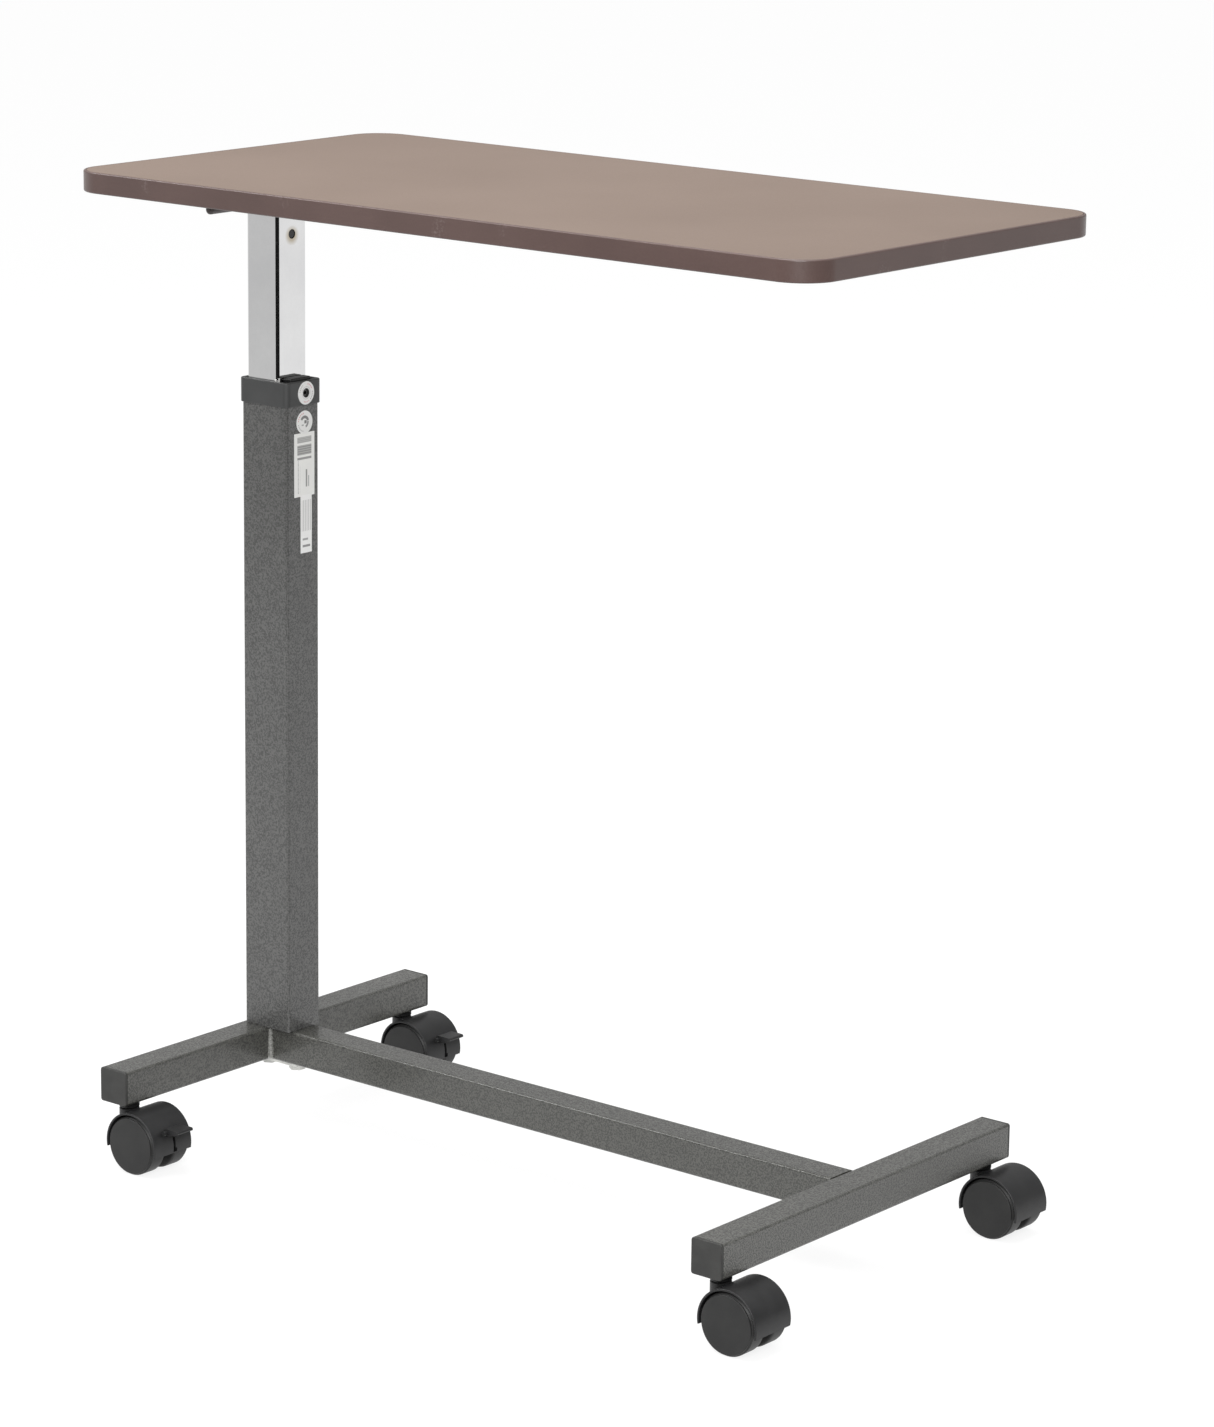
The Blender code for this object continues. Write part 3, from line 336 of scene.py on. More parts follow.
def sweep_round(profile, length, width, corner, steps, centre):
    """Carry a closed profile of (inward, height) points round a rectangle with round corners."""
    bm = bmesh.new()
    half_width = width / 2
    points = [bm.verts.new((centre[0], centre[1] - half_width + inward, height))
              for inward, height in profile]
    edges = [bm.edges.new((points[i - 1], points[i])) for i in range(len(points))]
    tip = points + edges

    def carry(tip, move):
        edges = [e for e in tip if isinstance(e, bmesh.types.BMEdge)]
        grown = bmesh.ops.extrude_edge_only(bm, edges=edges)["geom"]
        new_points = [part for part in grown if isinstance(part, bmesh.types.BMVert)]
        bmesh.ops.translate(bm, vec=move, verts=new_points)
        return new_points + [e for e in grown if isinstance(e, bmesh.types.BMEdge)
                             and all(v in new_points for v in e.verts)]

    def turn(tip, x, y):
        return bmesh.ops.spin(bm, geom=tip, cent=(centre[0] + x, centre[1] + y, 0), axis=(0, 0, 1),
                              dvec=(0, 0, 0), angle=math.pi / 2, steps=steps)["geom_last"]

    cx = length / 2 - corner
    cy = half_width - corner
    tip = turn(carry(tip, (cx, 0, 0)), cx, -cy)
    tip = turn(carry(tip, (0, 2 * cy, 0)), cx, cy)
    tip = turn(carry(tip, (-2 * cx, 0, 0)), -cx, cy)
    tip = turn(carry(tip, (0, -2 * cy, 0)), -cx, -cy)
    carry(tip, (cx, 0, 0))
    weld_and_face_out(bm)
    return bm


def arc_points(centre, radius, start, end, steps):
    """Points on an arc, with angles in degrees."""
    turns = [math.radians(start + (end - start) * i / steps) for i in range(steps + 1)]
    return [(centre[0] + radius * math.cos(a), centre[1] + radius * math.sin(a)) for a in turns]


barb_z = (core_low.z + core_high.z) / 2
band_back = BAND - GAP
barb_tip = band_back + BARB_DEPTH
band_profile = (
    arc_points((BAND_EDGE, top_low.z + BAND_EDGE), BAND_EDGE, 270, 180, ARRIS_STEPS)
    + arc_points((BAND_EDGE, top_high.z - BAND_EDGE), BAND_EDGE, 180, 90, ARRIS_STEPS)
    + [(band_back - BAND_SEAM, top_high.z), (band_back, top_high.z - BAND_SEAM),
       (band_back, barb_z + BARB / 2), (barb_tip - GAP, barb_z + BARB / 2), (barb_tip, barb_z),
       (barb_tip - GAP, barb_z - BARB / 2), (band_back, barb_z - BARB / 2), (band_back, top_low.z)])
band_bm = sweep_round(band_profile, top_high.x - top_low.x, top_high.y - top_low.y, TOP_CORNER,
                      CORNER_STEPS, (0, 0))

# Scuffs: short pale rubs in scattered places, as on an edge that gets knocked.
scuffed, into, out = new_effect(
    "scuffs", [("Scale", 60.0), ("Amount", 0.1)], [("Mask", "NodeSocketFloat")])
where = scuffed.nodes.new("ShaderNodeTexCoord")
place = add_node(scuffed, "ShaderNodeTexNoise", Detail=2.0)
rub = add_node(scuffed, "ShaderNodeTexNoise", Scale=420.0, Detail=5.0, Roughness=0.7)
where_cut = add_node(scuffed, "ShaderNodeMapRange", From_Min=0.62, From_Max=0.72)
rub_cut = add_node(scuffed, "ShaderNodeMapRange", From_Min=0.5, From_Max=0.62)
both = sum_node(scuffed, "MULTIPLY")
much = sum_node(scuffed, "MULTIPLY")
wire(scuffed, (where, "Object", place, "Vector"), (into, "Scale", place, "Scale"),
     (where, "Object", rub, "Vector"), (place, "Fac", where_cut, "Value"), (rub, "Fac", rub_cut, "Value"),
     (where_cut, "Result", both, 0), (rub_cut, "Result", both, 1), (both, "Value", much, 0),
     (into, "Amount", much, 1), (much, "Value", out, "Mask"))


def add_scuffs(finish, scale, amount, colour):
    """Lay scuffs over a finish's colour."""
    tree = finish.node_tree
    shader = tree.nodes["Principled BSDF"]
    under = shader.inputs["Base Color"].links[0].from_socket
    mask = add_node(tree, "ShaderNodeGroup", node_tree=scuffed, Scale=scale, Amount=amount)
    over = colour_mix(tree)
    over.inputs[7].default_value = (*colour, 1)
    link_nodes(tree, mask, "Mask", over, 0)
    tree.links.new(under, over.inputs[6])
    link_nodes(tree, over, 2, shader, "Base Color")


band_finish = cloudy_finish("brown_vinyl", (0.076, 0.047, 0.042), (0.088, 0.055, 0.049), 14.0, 700.0, 0.04,
                            (0.30, 0.40), 0.00003)
add_scuffs(band_finish, 26.0, 0.5, (0.20, 0.16, 0.15))
set_piece("edge_band_moulding", band_bm, "mast", band_finish, ["edge_band"])

# ---------------------------------------------------------------------------------------------
# Board and backer. The core is particle board and the underside is closed by a plain backer
# sheet; both keep their CAD shapes.


def carried(name, finish):
    """A CAD node that keeps its shape and takes a finish."""
    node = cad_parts[name]
    node.data.materials.clear()
    node.data.materials.append(finish)


board_finish = cloudy_finish("particle_board", (0.42, 0.30, 0.18), (0.56, 0.42, 0.27), 90.0, 420.0, 0.25,
                             (0.8, 0.95), 0.0003)
carried("tabletop_core", board_finish)
backer_finish = cloudy_finish("backer_sheet", (0.25, 0.21, 0.18), (0.29, 0.24, 0.205), 6.0, 900.0, 0.05,
                              (0.6, 0.72), 0.00005)
carried("tabletop_backer", backer_finish)

# ---------------------------------------------------------------------------------------------
# Support channel. A folded steel channel, painted black, screwed up into the board and welded
# to the mast; its flanges are notched where the release bar passes.
CHANNEL_WALL = 0.002
CHANNEL_BEND = 0.0032
SLOT_GAP = 0.0034
SLOT_ROOF = 0.0024
BEYOND = 0.01

channel_low, channel_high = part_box("support_channel")
lever_low, lever_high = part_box("release_lever")
ROD = 0.007
ROD_DROP = 0.010
ROD_X = lever_high.x - ROD / 2


def box_between(low, high):
    """A plain block between two corners."""
    low, high = Vector(low), Vector(high)
    bm = bmesh.new()
    bmesh.ops.create_cube(bm, size=1, matrix=Matrix.Translation((low + high) / 2)
                          @ Matrix.Diagonal((*(high - low), 1)))
    return bm


def edges_along(bm, axis):
    """The edges that run along X, Y or Z."""
    return [e for e in bm.edges if abs((e.verts[0].co - e.verts[1].co).normalized()[axis]) > 0.999]


def round_edges(bm, edges, radius, steps):
    bmesh.ops.bevel(bm, geom=edges, offset=radius, offset_type="OFFSET", segments=steps, profile=0.5,
                    affect="EDGES", material=-1)


def worked(bm, *steps):
    """Cut blanks out of a shape, or join them on, in turn."""
    shape = mesh_object("blank", bm)
    tools = []
    for operation, tool_bm in steps:
        tool = mesh_object("tool", tool_bm)
        tools.append(tool)
        change = shape.modifiers.new("work", "BOOLEAN")
        change.operation = operation
        change.solver = "EXACT"
        change.object = tool
    bpy.context.view_layer.update()
    result = bpy.data.meshes.new_from_object(shape.evaluated_get(bpy.context.evaluated_depsgraph_get()))
    done = bmesh.new()
    done.from_mesh(result)
    for item in (shape, *tools):
        bpy.data.objects.remove(item, do_unlink=True)
    return done


def folded(low, high, bend, steps, wall):
    """Sheet steel folded into a trough that runs along X, open below."""
    bm = box_between(low, high)
    bare = [f for f in bm.faces if f.normal.z < -0.9 or abs(f.normal.x) > 0.9]
    bmesh.ops.delete(bm, geom=bare, context="FACES_ONLY")
    round_edges(bm, [e for e in edges_along(bm, 0) if e.verts[0].co.z > high.z - 1e-6], bend, steps)
    bmesh.ops.solidify(bm, geom=bm.faces[:], thickness=wall)
    bmesh.ops.recalc_face_normals(bm, faces=bm.faces)
    return bm


channel_bm = folded(channel_low, channel_high, CHANNEL_BEND, 5, CHANNEL_WALL)
notch = box_between((ROD_X - ROD / 2 - SLOT_GAP, channel_low.y - BEYOND, channel_low.z - BEYOND),
                    (ROD_X + ROD / 2 + SLOT_GAP, channel_high.y + BEYOND, channel_high.z - SLOT_ROOF))
channel_bm = worked(channel_bm, ("DIFFERENCE", notch))
black_paint = cloudy_finish("black_paint", (0.022, 0.022, 0.023), (0.030, 0.030, 0.031), 20.0, 1100.0, 0.12,
                            (0.32, 0.44), 0.00006)
set_piece("channel_folded", channel_bm, "mast", black_paint, ["support_channel"])

# ---------------------------------------------------------------------------------------------
# Channel screws. Zinc-plated pan-head wood screws with a cross recess, driven up through the
# channel into the board.
SCREW_HEAD = 0.009
SCREW_SHANK = 0.0021
DOME = 0.0016
RECESS = 0.0052
RECESS_WIDTH = 0.0008
RECESS_DEPTH = 0.0013


def spun(profile, steps, centre=(0, 0, 0), turn=None):
    """Spin a profile of (radius, height) points once round Z, then turn it and set it in place."""
    bm = bmesh.new()
    points = [bm.verts.new((radius, 0, height)) for radius, height in profile]
    edges = [bm.edges.new(pair) for pair in zip(points, points[1:])]
    if profile[0][0] > 0:
        edges.append(bm.edges.new((points[-1], points[0])))
    bmesh.ops.spin(bm, geom=points + edges, cent=(0, 0, 0), axis=(0, 0, 1), dvec=(0, 0, 0), angle=math.tau,
                   steps=steps, use_merge=True)
    weld_and_face_out(bm)
    matrix = Matrix.Translation(centre) @ (turn or Matrix.Identity(4))
    bmesh.ops.transform(bm, matrix=matrix, verts=bm.verts)
    return bm


def drill(radius, reach, steps, centre, turn=None):
    """A round blank that cuts a hole, as far each way from its centre as it reaches."""
    return spun([(0, -reach), (radius, -reach), (radius, reach), (0, reach)], steps, centre, turn)


zinc_finish = cloudy_finish("zinc_plate", (0.52, 0.53, 0.53), (0.66, 0.66, 0.64), 120.0, 1500.0, 0.06,
                            (0.28, 0.42), 0.00003, Metallic=1.0)
for number in (1, 2, 3, 4):
    screw_low, screw_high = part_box(f"channel_screw_{number}")
    x = (screw_low.x + screw_high.x) / 2
    y = (screw_low.y + screw_high.y) / 2
    head_top = channel_high.z - CHANNEL_WALL - GAP
    radius = SCREW_HEAD / 2
    dome = arc_points((radius - DOME, head_top - 0.0010), DOME, 0, -90, 5)
    screw_bm = spun([(0, screw_low.z), *reversed(dome), (radius, head_top), (SCREW_SHANK, head_top),
                     (SCREW_SHANK, screw_high.z - 0.003), (0.0004, screw_high.z), (0, screw_high.z)], 24,
                    (x, y, 0))
    slots = [("DIFFERENCE", box_between((x - across, y - along, screw_low.z - 0.001),
                                        (x + across, y + along, screw_low.z + RECESS_DEPTH)))
             for across, along in ((RECESS / 2, RECESS_WIDTH / 2), (RECESS_WIDTH / 2, RECESS / 2))]
    screw_bm = worked(screw_bm, *slots)
    set_piece(f"pan_head_screw_{number}", screw_bm, "mast", zinc_finish, [f"channel_screw_{number}"])

# ---------------------------------------------------------------------------------------------
# Release bar. A round steel bar across the channel, welded to a short arm that pivots in a zinc
# bracket and presses the gas spring's pin; its ends are dipped in black vinyl.
DIP_LENGTH = 0.030
DIP_WALL = 0.0004
ARM_THICKNESS = 0.004
HUB = 0.008
HUB_LENGTH = 0.011
PIVOT_BORE = 0.0023
PIVOT_PIN = 0.002
BRACKET_BEND = 0.0022
BRACKET_WALL = 0.002

pin_low, pin_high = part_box("lever_pivot_pin")
PIVOT_X = (pin_low.x + pin_high.x) / 2
PIVOT_Z = (pin_low.z + pin_high.z) / 2
ALONG_X = Matrix.Rotation(math.pi / 2, 4, "Y")
ALONG_Y = Matrix.Rotation(-math.pi / 2, 4, "X")
ROD_Z = channel_high.z + GAP - ROD_DROP
ROD_END = lever_high.y


def round_bar(radius, length, ease, steps, centre, turn):
    """A round bar centred on its place, with round-edged ends."""
    half = length / 2
    end = arc_points((radius - ease, half - ease), ease, 0, 90, 4)
    profile = [(0, -half), *((px, -pz) for px, pz in reversed(end)), *end, (0, half)]
    return spun(profile, steps, centre, turn)


arm_bm = box_between((lever_low.x, -HUB_LENGTH / 2, PIVOT_Z - ARM_THICKNESS / 2),
                     (ROD_X - 0.001, HUB_LENGTH / 2, PIVOT_Z + ARM_THICKNESS / 2))
round_edges(arm_bm, arm_bm.edges[:], 0.0006, 3)
hub_bm = round_bar(HUB / 2, HUB_LENGTH, 0.0004, 32, (PIVOT_X, 0, PIVOT_Z), ALONG_Y)
bar_bm = round_bar(ROD / 2, 2 * (ROD_END - 0.002), 0.0012, 32, (ROD_X, 0, ROD_Z), ALONG_Y)
bore_bm = drill(PIVOT_BORE, 0.02, 24, (PIVOT_X, 0, PIVOT_Z), ALONG_Y)
lever_bm = worked(arm_bm, ("UNION", hub_bm), ("UNION", bar_bm), ("DIFFERENCE", bore_bm))
bar_steel = cloudy_finish("dark_bar_steel", (0.050, 0.050, 0.052), (0.075, 0.075, 0.077), 60.0, 1200.0, 0.1,
                          (0.30, 0.42), 0.00004, Metallic=0.6)
set_piece("release_bar", lever_bm, "release_lever", bar_steel, ["release_lever"])
vinyl = cloudy_finish("dipped_vinyl", (0.040, 0.030, 0.028), (0.050, 0.038, 0.036), 40.0, 900.0, 0.08,
                      (0.34, 0.46), 0.00005)
for side, name in ((-1, "near"), (1, "far")):
    middle = side * (ROD_END - DIP_LENGTH / 2)
    dip_bm = round_bar(ROD / 2 + DIP_WALL, DIP_LENGTH, 0.0022, 32, (ROD_X, middle, ROD_Z), ALONG_Y)
    set_piece(f"release_bar_{name}_tip", dip_bm, "release_lever", vinyl)

bracket_low, bracket_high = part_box("lever_bracket")
bracket_bm = folded(bracket_low, bracket_high, BRACKET_BEND, 4, BRACKET_WALL)
eye_bm = drill(PIVOT_BORE, 0.02, 24, (PIVOT_X, 0, PIVOT_Z), ALONG_Y)
bracket_bm = worked(bracket_bm, ("DIFFERENCE", eye_bm))
set_piece("lever_bracket_folded", bracket_bm, "mast", zinc_finish, ["lever_bracket"])
pin_bm = round_bar(PIVOT_PIN, pin_high.y - pin_low.y, 0.0006, 24, (PIVOT_X, 0, PIVOT_Z), ALONG_Y)
set_piece("lever_pivot", pin_bm, "mast", zinc_finish, ["lever_pivot_pin"])

# ---------------------------------------------------------------------------------------------
# Mast. Chrome-plated square steel tube with drawn round corners; a cross hole near the top holds
# the gas spring's pin, and the release arm enters through a notch.
MAST_WALL = 0.0015
MAST_CORNER = 0.0028
TUBE_STEPS = 8
NOTCH_HALF = 0.0065
NOTCH_DROP = 0.008

top_pin_low, top_pin_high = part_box("gas_spring_top_pin")
HOLE_Z = (top_pin_low.z + top_pin_high.z) / 2
PIN_HOLE = 0.00405


def square_tube(low, high, axis, corner, wall, steps=TUBE_STEPS):
    """A square or rectangular tube between two corners, open at both ends."""
    bm = box_between(low, high)
    round_edges(bm, edges_along(bm, axis), corner, steps)
    ends = [f for f in bm.faces if abs(f.normal[axis]) > 0.9]
    bmesh.ops.delete(bm, geom=ends, context="FACES_ONLY")
    bmesh.ops.solidify(bm, geom=bm.faces[:], thickness=wall)
    bmesh.ops.recalc_face_normals(bm, faces=bm.faces)
    return bm


mast_bm = square_tube(mast_low, mast_high, 2, MAST_CORNER, MAST_WALL)
hole_bm = drill(PIN_HOLE, 0.03, 32, (MAST_X, 0, HOLE_Z), ALONG_X)
notch_bm = box_between((mast_high.x - 0.004, -NOTCH_HALF, PIVOT_Z - NOTCH_DROP),
                       (mast_high.x + 0.002, NOTCH_HALF, mast_high.z + 0.005))
mast_bm = worked(mast_bm, ("DIFFERENCE", hole_bm), ("DIFFERENCE", notch_bm))

# Chrome plate, faintly cloudy, with a brownish ring of stain round the pin's hole.
chrome, shader = new_finish("chrome_plate", Metallic=1.0)
tree = chrome.node_tree
effect = cloudy_tone(tree, (0.68, 0.68, 0.685), (0.73, 0.73, 0.73), 18.0, 260.0, 0.012)
where = tree.nodes.new("ShaderNodeTexCoord")
from_hole = add_node(tree, "ShaderNodeVectorMath", operation="DISTANCE")
from_hole.inputs[1].default_value = (mast_high.x, 0, HOLE_Z - 0.0012)
ring = add_node(tree, "ShaderNodeMapRange", From_Min=0.0088, From_Max=0.0042, To_Min=0.0, To_Max=0.8)
stain = colour_mix(tree)
stain.inputs[7].default_value = (0.40, 0.34, 0.24, 1)
gloss = add_node(tree, "ShaderNodeMapRange", From_Min=0.3, From_Max=0.7, To_Min=0.045, To_Max=0.075)
wire(tree, (where, "Object", from_hole, 0), (from_hole, "Value", ring, "Value"), (ring, "Result", stain, 0),
     (effect, "Color", stain, 6), (stain, 2, shader, "Base Color"), (effect, "Height", gloss, "Value"),
     (gloss, "Result", shader, "Roughness"))
set_piece("chrome_mast", mast_bm, "mast", chrome, ["inner_mast"], sharp=30)

# ---------------------------------------------------------------------------------------------
# Gas spring. A black cylinder inside the mast with a bright ground rod down to the column's
# foot; only its release pin and top pin can be glimpsed, and all keep their CAD shapes.
spring_black = cloudy_finish("gas_spring_enamel", (0.012, 0.012, 0.012), (0.018, 0.018, 0.018), 30.0,
                             1000.0, 0.1, (0.22, 0.32), 0.00003)
bright_finish = cloudy_finish("ground_rod", (0.66, 0.66, 0.66), (0.74, 0.74, 0.74), 200.0, 1800.0,
                              0.03, (0.08, 0.14), 0.00001, Metallic=1.0)
nylon_black = cloudy_finish("black_nylon", (0.016, 0.016, 0.016), (0.022, 0.022, 0.022), 60.0, 900.0, 0.1,
                            (0.42, 0.55), 0.00006)
block_steel = cloudy_finish("foot_block_steel", (0.16, 0.16, 0.16), (0.24, 0.24, 0.24), 50.0, 600.0, 0.15,
                            (0.5, 0.7), 0.0001, Metallic=0.8)
for node, finish in (("gas_spring_cylinder", spring_black), ("gas_spring_gland", spring_black),
                     ("gas_spring_top_pin", spring_black), ("piston_rod", bright_finish),
                     ("release_pin", bright_finish), ("mast_foot_guide", nylon_black),
                     ("column_foot_block", block_steel)):
    carried(node, finish)

# ---------------------------------------------------------------------------------------------
# Column. Rectangular steel tube in grey hammertone paint, whose fine hammered mottle has small
# dark pits; its round corners catch the light.
COLUMN_CORNER = 0.0024
COLUMN_WALL = 0.0015
SCREW_EYE = 0.0037
MOTTLE_SCALE = 720.0
MOTTLE_CONTRAST = 0.24

column_low, column_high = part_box("outer_column")
screw_low, screw_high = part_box("guide_screw")
SCREW_Y = (screw_low.y + screw_high.y) / 2
SCREW_Z = (screw_low.z + screw_high.z) / 2

# Hammered paint: pale puddles with dark pits between them, and a slow change of tone.
hammered, into, out = new_effect(
    "hammered_paint",
    [("Pit", (0.05, 0.05, 0.05, 1)), ("Puddle", (0.2, 0.2, 0.2, 1)), ("Scale", 620.0), ("Contrast", 0.5),
     ("Drift", 0.06)],
    [("Color", "NodeSocketColor"), ("Height", "NodeSocketFloat"), ("Roughness", "NodeSocketFloat")])
where = hammered.nodes.new("ShaderNodeTexCoord")
wander = add_node(hammered, "ShaderNodeTexNoise", Detail=2.0, Roughness=0.5)
spread_low = sum_node(hammered, "SUBTRACT", first=0.5)
half_spread = sum_node(hammered, "MULTIPLY", second=0.5)
spread_high = sum_node(hammered, "ADD", first=0.5)
level = add_node(hammered, "ShaderNodeMapRange", interpolation_type="SMOOTHSTEP")
drift = add_node(hammered, "ShaderNodeTexNoise", Scale=9.0, Detail=2.0)
drift_low = sum_node(hammered, "SUBTRACT", first=1.0)
drift_high = sum_node(hammered, "ADD", first=1.0)
drift_level = add_node(hammered, "ShaderNodeMapRange", From_Min=0.35, From_Max=0.65)
tone = colour_mix(hammered)
scaled = add_node(hammered, "ShaderNodeVectorMath", operation="SCALE")
gloss = add_node(hammered, "ShaderNodeMapRange", To_Min=0.48, To_Max=0.29)
wire(hammered, (where, "Object", wander, "Vector"), (where, "Object", drift, "Vector"),
     (into, "Scale", wander, "Scale"), (into, "Contrast", half_spread, 0),
     (half_spread, "Value", spread_low, 1), (half_spread, "Value", spread_high, 1),
     (wander, "Fac", level, "Value"), (spread_low, "Value", level, "From Min"),
     (spread_high, "Value", level, "From Max"), (level, "Result", tone, 0), (into, "Pit", tone, 6),
     (into, "Puddle", tone, 7), (into, "Drift", drift_low, 1), (into, "Drift", drift_high, 1),
     (drift, "Fac", drift_level, "Value"), (drift_low, "Value", drift_level, "To Min"),
     (drift_high, "Value", drift_level, "To Max"), (tone, 2, scaled, 0),
     (drift_level, "Result", scaled, "Scale"), (scaled, "Vector", out, "Color"),
     (level, "Result", out, "Height"), (level, "Result", gloss, "Value"),
     (gloss, "Result", out, "Roughness"))

def hammered_finish(name, pit, puddle):
    """Grey hammertone paint under its own clear gloss."""
    made, shader = new_finish(name, Metallic=0.0, Coat_Weight=0.5, Coat_Roughness=0.16)
    tree = made.node_tree
    effect = add_node(tree, "ShaderNodeGroup", node_tree=hammered, Pit=(*pit, 1), Puddle=(*puddle, 1),
                      Scale=MOTTLE_SCALE, Contrast=MOTTLE_CONTRAST)
    relief = add_node(tree, "ShaderNodeBump", Strength=0.6, Distance=0.00025)
    wire(tree, (effect, "Color", shader, "Base Color"), (effect, "Roughness", shader, "Roughness"),
         (effect, "Height", relief, "Height"), (relief, "Normal", shader, "Normal"))
    return made


column_paint = hammered_finish("column_hammertone", (0.034, 0.034, 0.033), (0.090, 0.090, 0.087))
column_bm = square_tube(column_low, column_high, 2, COLUMN_CORNER, COLUMN_WALL)
eye_bm = drill(SCREW_EYE, 0.006, 32, (column_high.x, SCREW_Y, SCREW_Z), ALONG_X)
column_bm = worked(column_bm, ("DIFFERENCE", eye_bm))
set_piece("column_tube", column_bm, "base", column_paint, ["outer_column"], sharp=30)

# ---------------------------------------------------------------------------------------------
# Collar. A moulded cap of dark grey plastic, pressed over the column's top round the mast's
# opening; its screw hole faces the bed side.
collar_low, collar_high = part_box("column_collar")
COLLAR_CORNER = 0.005
COLLAR_EDGE = 0.0010
COLLAR_LIP = 0.003
COLLAR_WALL = 0.0017
COLLAR_MOUTH = 0.0038
COLLAR_EASE = 0.0005

collar_length = collar_high.x - collar_low.x
collar_width = collar_high.y - collar_low.y
collar_x = (collar_low.x + collar_high.x) / 2
collar_profile = (
    [(COLLAR_WALL, collar_low.z)]
    + arc_points((COLLAR_EASE, collar_low.z + COLLAR_EASE), COLLAR_EASE, 270, 180, 3)
    + arc_points((COLLAR_EDGE, collar_high.z - COLLAR_EDGE), COLLAR_EDGE, 180, 90, 5)
    + [(COLLAR_MOUTH - 0.0004, collar_high.z), (COLLAR_MOUTH, collar_high.z - 0.0004),
       (COLLAR_MOUTH, collar_high.z - COLLAR_LIP), (COLLAR_WALL, collar_high.z - COLLAR_LIP)])
collar_bm = sweep_round(collar_profile, collar_length, collar_width, COLLAR_CORNER, 10, (collar_x, 0))
eye_bm = drill(SCREW_EYE, 0.006, 32, (collar_high.x, SCREW_Y, SCREW_Z), ALONG_X)
collar_bm = worked(collar_bm, ("DIFFERENCE", eye_bm))
collar_plastic = cloudy_finish("grey_collar_plastic", (0.034, 0.035, 0.035), (0.043, 0.044, 0.044), 50.0,
                               1500.0, 0.10, (0.40, 0.52), 0.00006)
set_piece("collar_cap", collar_bm, "base", collar_plastic, ["column_collar"])

# ---------------------------------------------------------------------------------------------
# Mast guide. A black nylon block between the mast and the column, standing a little proud of
# the collar, held by a socket screw through the collar; two tiny white slips at the mast's near corner stand
# both for nylon slips that take up the mast's play and for the glints there, a painted highlight.
GUIDE_EDGE = 0.0012
SLIP_EDGE = 0.00012
SCREW_RADIUS = 0.0034
HEX_RADIUS = 0.0018

guide_low, guide_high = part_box("mast_guide_block")
guide_bm = box_between(guide_low, guide_high)
round_edges(guide_bm, guide_bm.edges[:], GUIDE_EDGE, 4)
guide_plastic = cloudy_finish("guide_nylon", (0.004, 0.004, 0.004), (0.006, 0.006, 0.006), 60.0, 1200.0, 0.1,
                              (0.30, 0.42), 0.00004)
set_piece("guide_block", guide_bm, "base", guide_plastic, ["mast_guide_block"])

# White slips at the mast's near corner: partly nylon slips, partly a painted highlight standing in for the
# glints on the chrome corner.
nylon_and_glint_white = cloudy_finish("nylon_and_glint_white", (0.74, 0.74, 0.72), (0.80, 0.80, 0.78), 90.0, 900.0, 0.04,
                            (0.35, 0.45), 0.00003)
# Each slip's two corners are measured from the mast's near corner at the collar's top.
slip_corner = Vector((mast_high.x, mast_low.y, collar_high.z))
for name, low, high in (("side", (-0.0034, -0.00045, -0.003), (-0.0014, -0.00005, 0.0016)),
                        ("front", (0.00005, 0.0008, -0.003), (0.00045, 0.0022, 0.0026))):
    slip_bm = box_between(slip_corner + Vector(low), slip_corner + Vector(high))
    round_edges(slip_bm, slip_bm.edges[:], SLIP_EDGE, 2)
    set_piece(f"{name}_slip_glint", slip_bm, "base", nylon_and_glint_white)

screw_bm = round_bar(SCREW_RADIUS, screw_high.x - screw_low.x, 0.0005, 32,
                     (screw_low + screw_high) / 2, ALONG_X)
socket_bm = bmesh.new()
bmesh.ops.create_cone(socket_bm, cap_ends=True, segments=6, radius1=HEX_RADIUS, radius2=HEX_RADIUS,
                      depth=0.006, matrix=Matrix.Translation((screw_high.x, SCREW_Y, SCREW_Z)) @ ALONG_X)
screw_bm = worked(screw_bm, ("DIFFERENCE", socket_bm))
screw_steel = cloudy_finish("blackened_steel", (0.05, 0.05, 0.05), (0.09, 0.09, 0.09), 300.0, 1500.0, 0.1,
                            (0.22, 0.34), 0.00004, Metallic=1.0)
set_piece("guide_socket_screw", screw_bm, "base", screw_steel, ["guide_screw"])

# ---------------------------------------------------------------------------------------------
# Stickers. Two round white vinyl stickers and a printed paper label on the bed side, laid flat
# on the collar and the column; their printing is plain arcs, bars and rules.
STICKER = 0.010
STICKER_EYE = 0.0041
STICKER_THICKNESS = 0.00012
STICKER_BEVEL = 0.0001
STUCK_ON = 0.00002
PAPER = (0.80, 0.80, 0.79)
INK = (0.09, 0.09, 0.09)
FAINT_RED = (0.62, 0.25, 0.28)


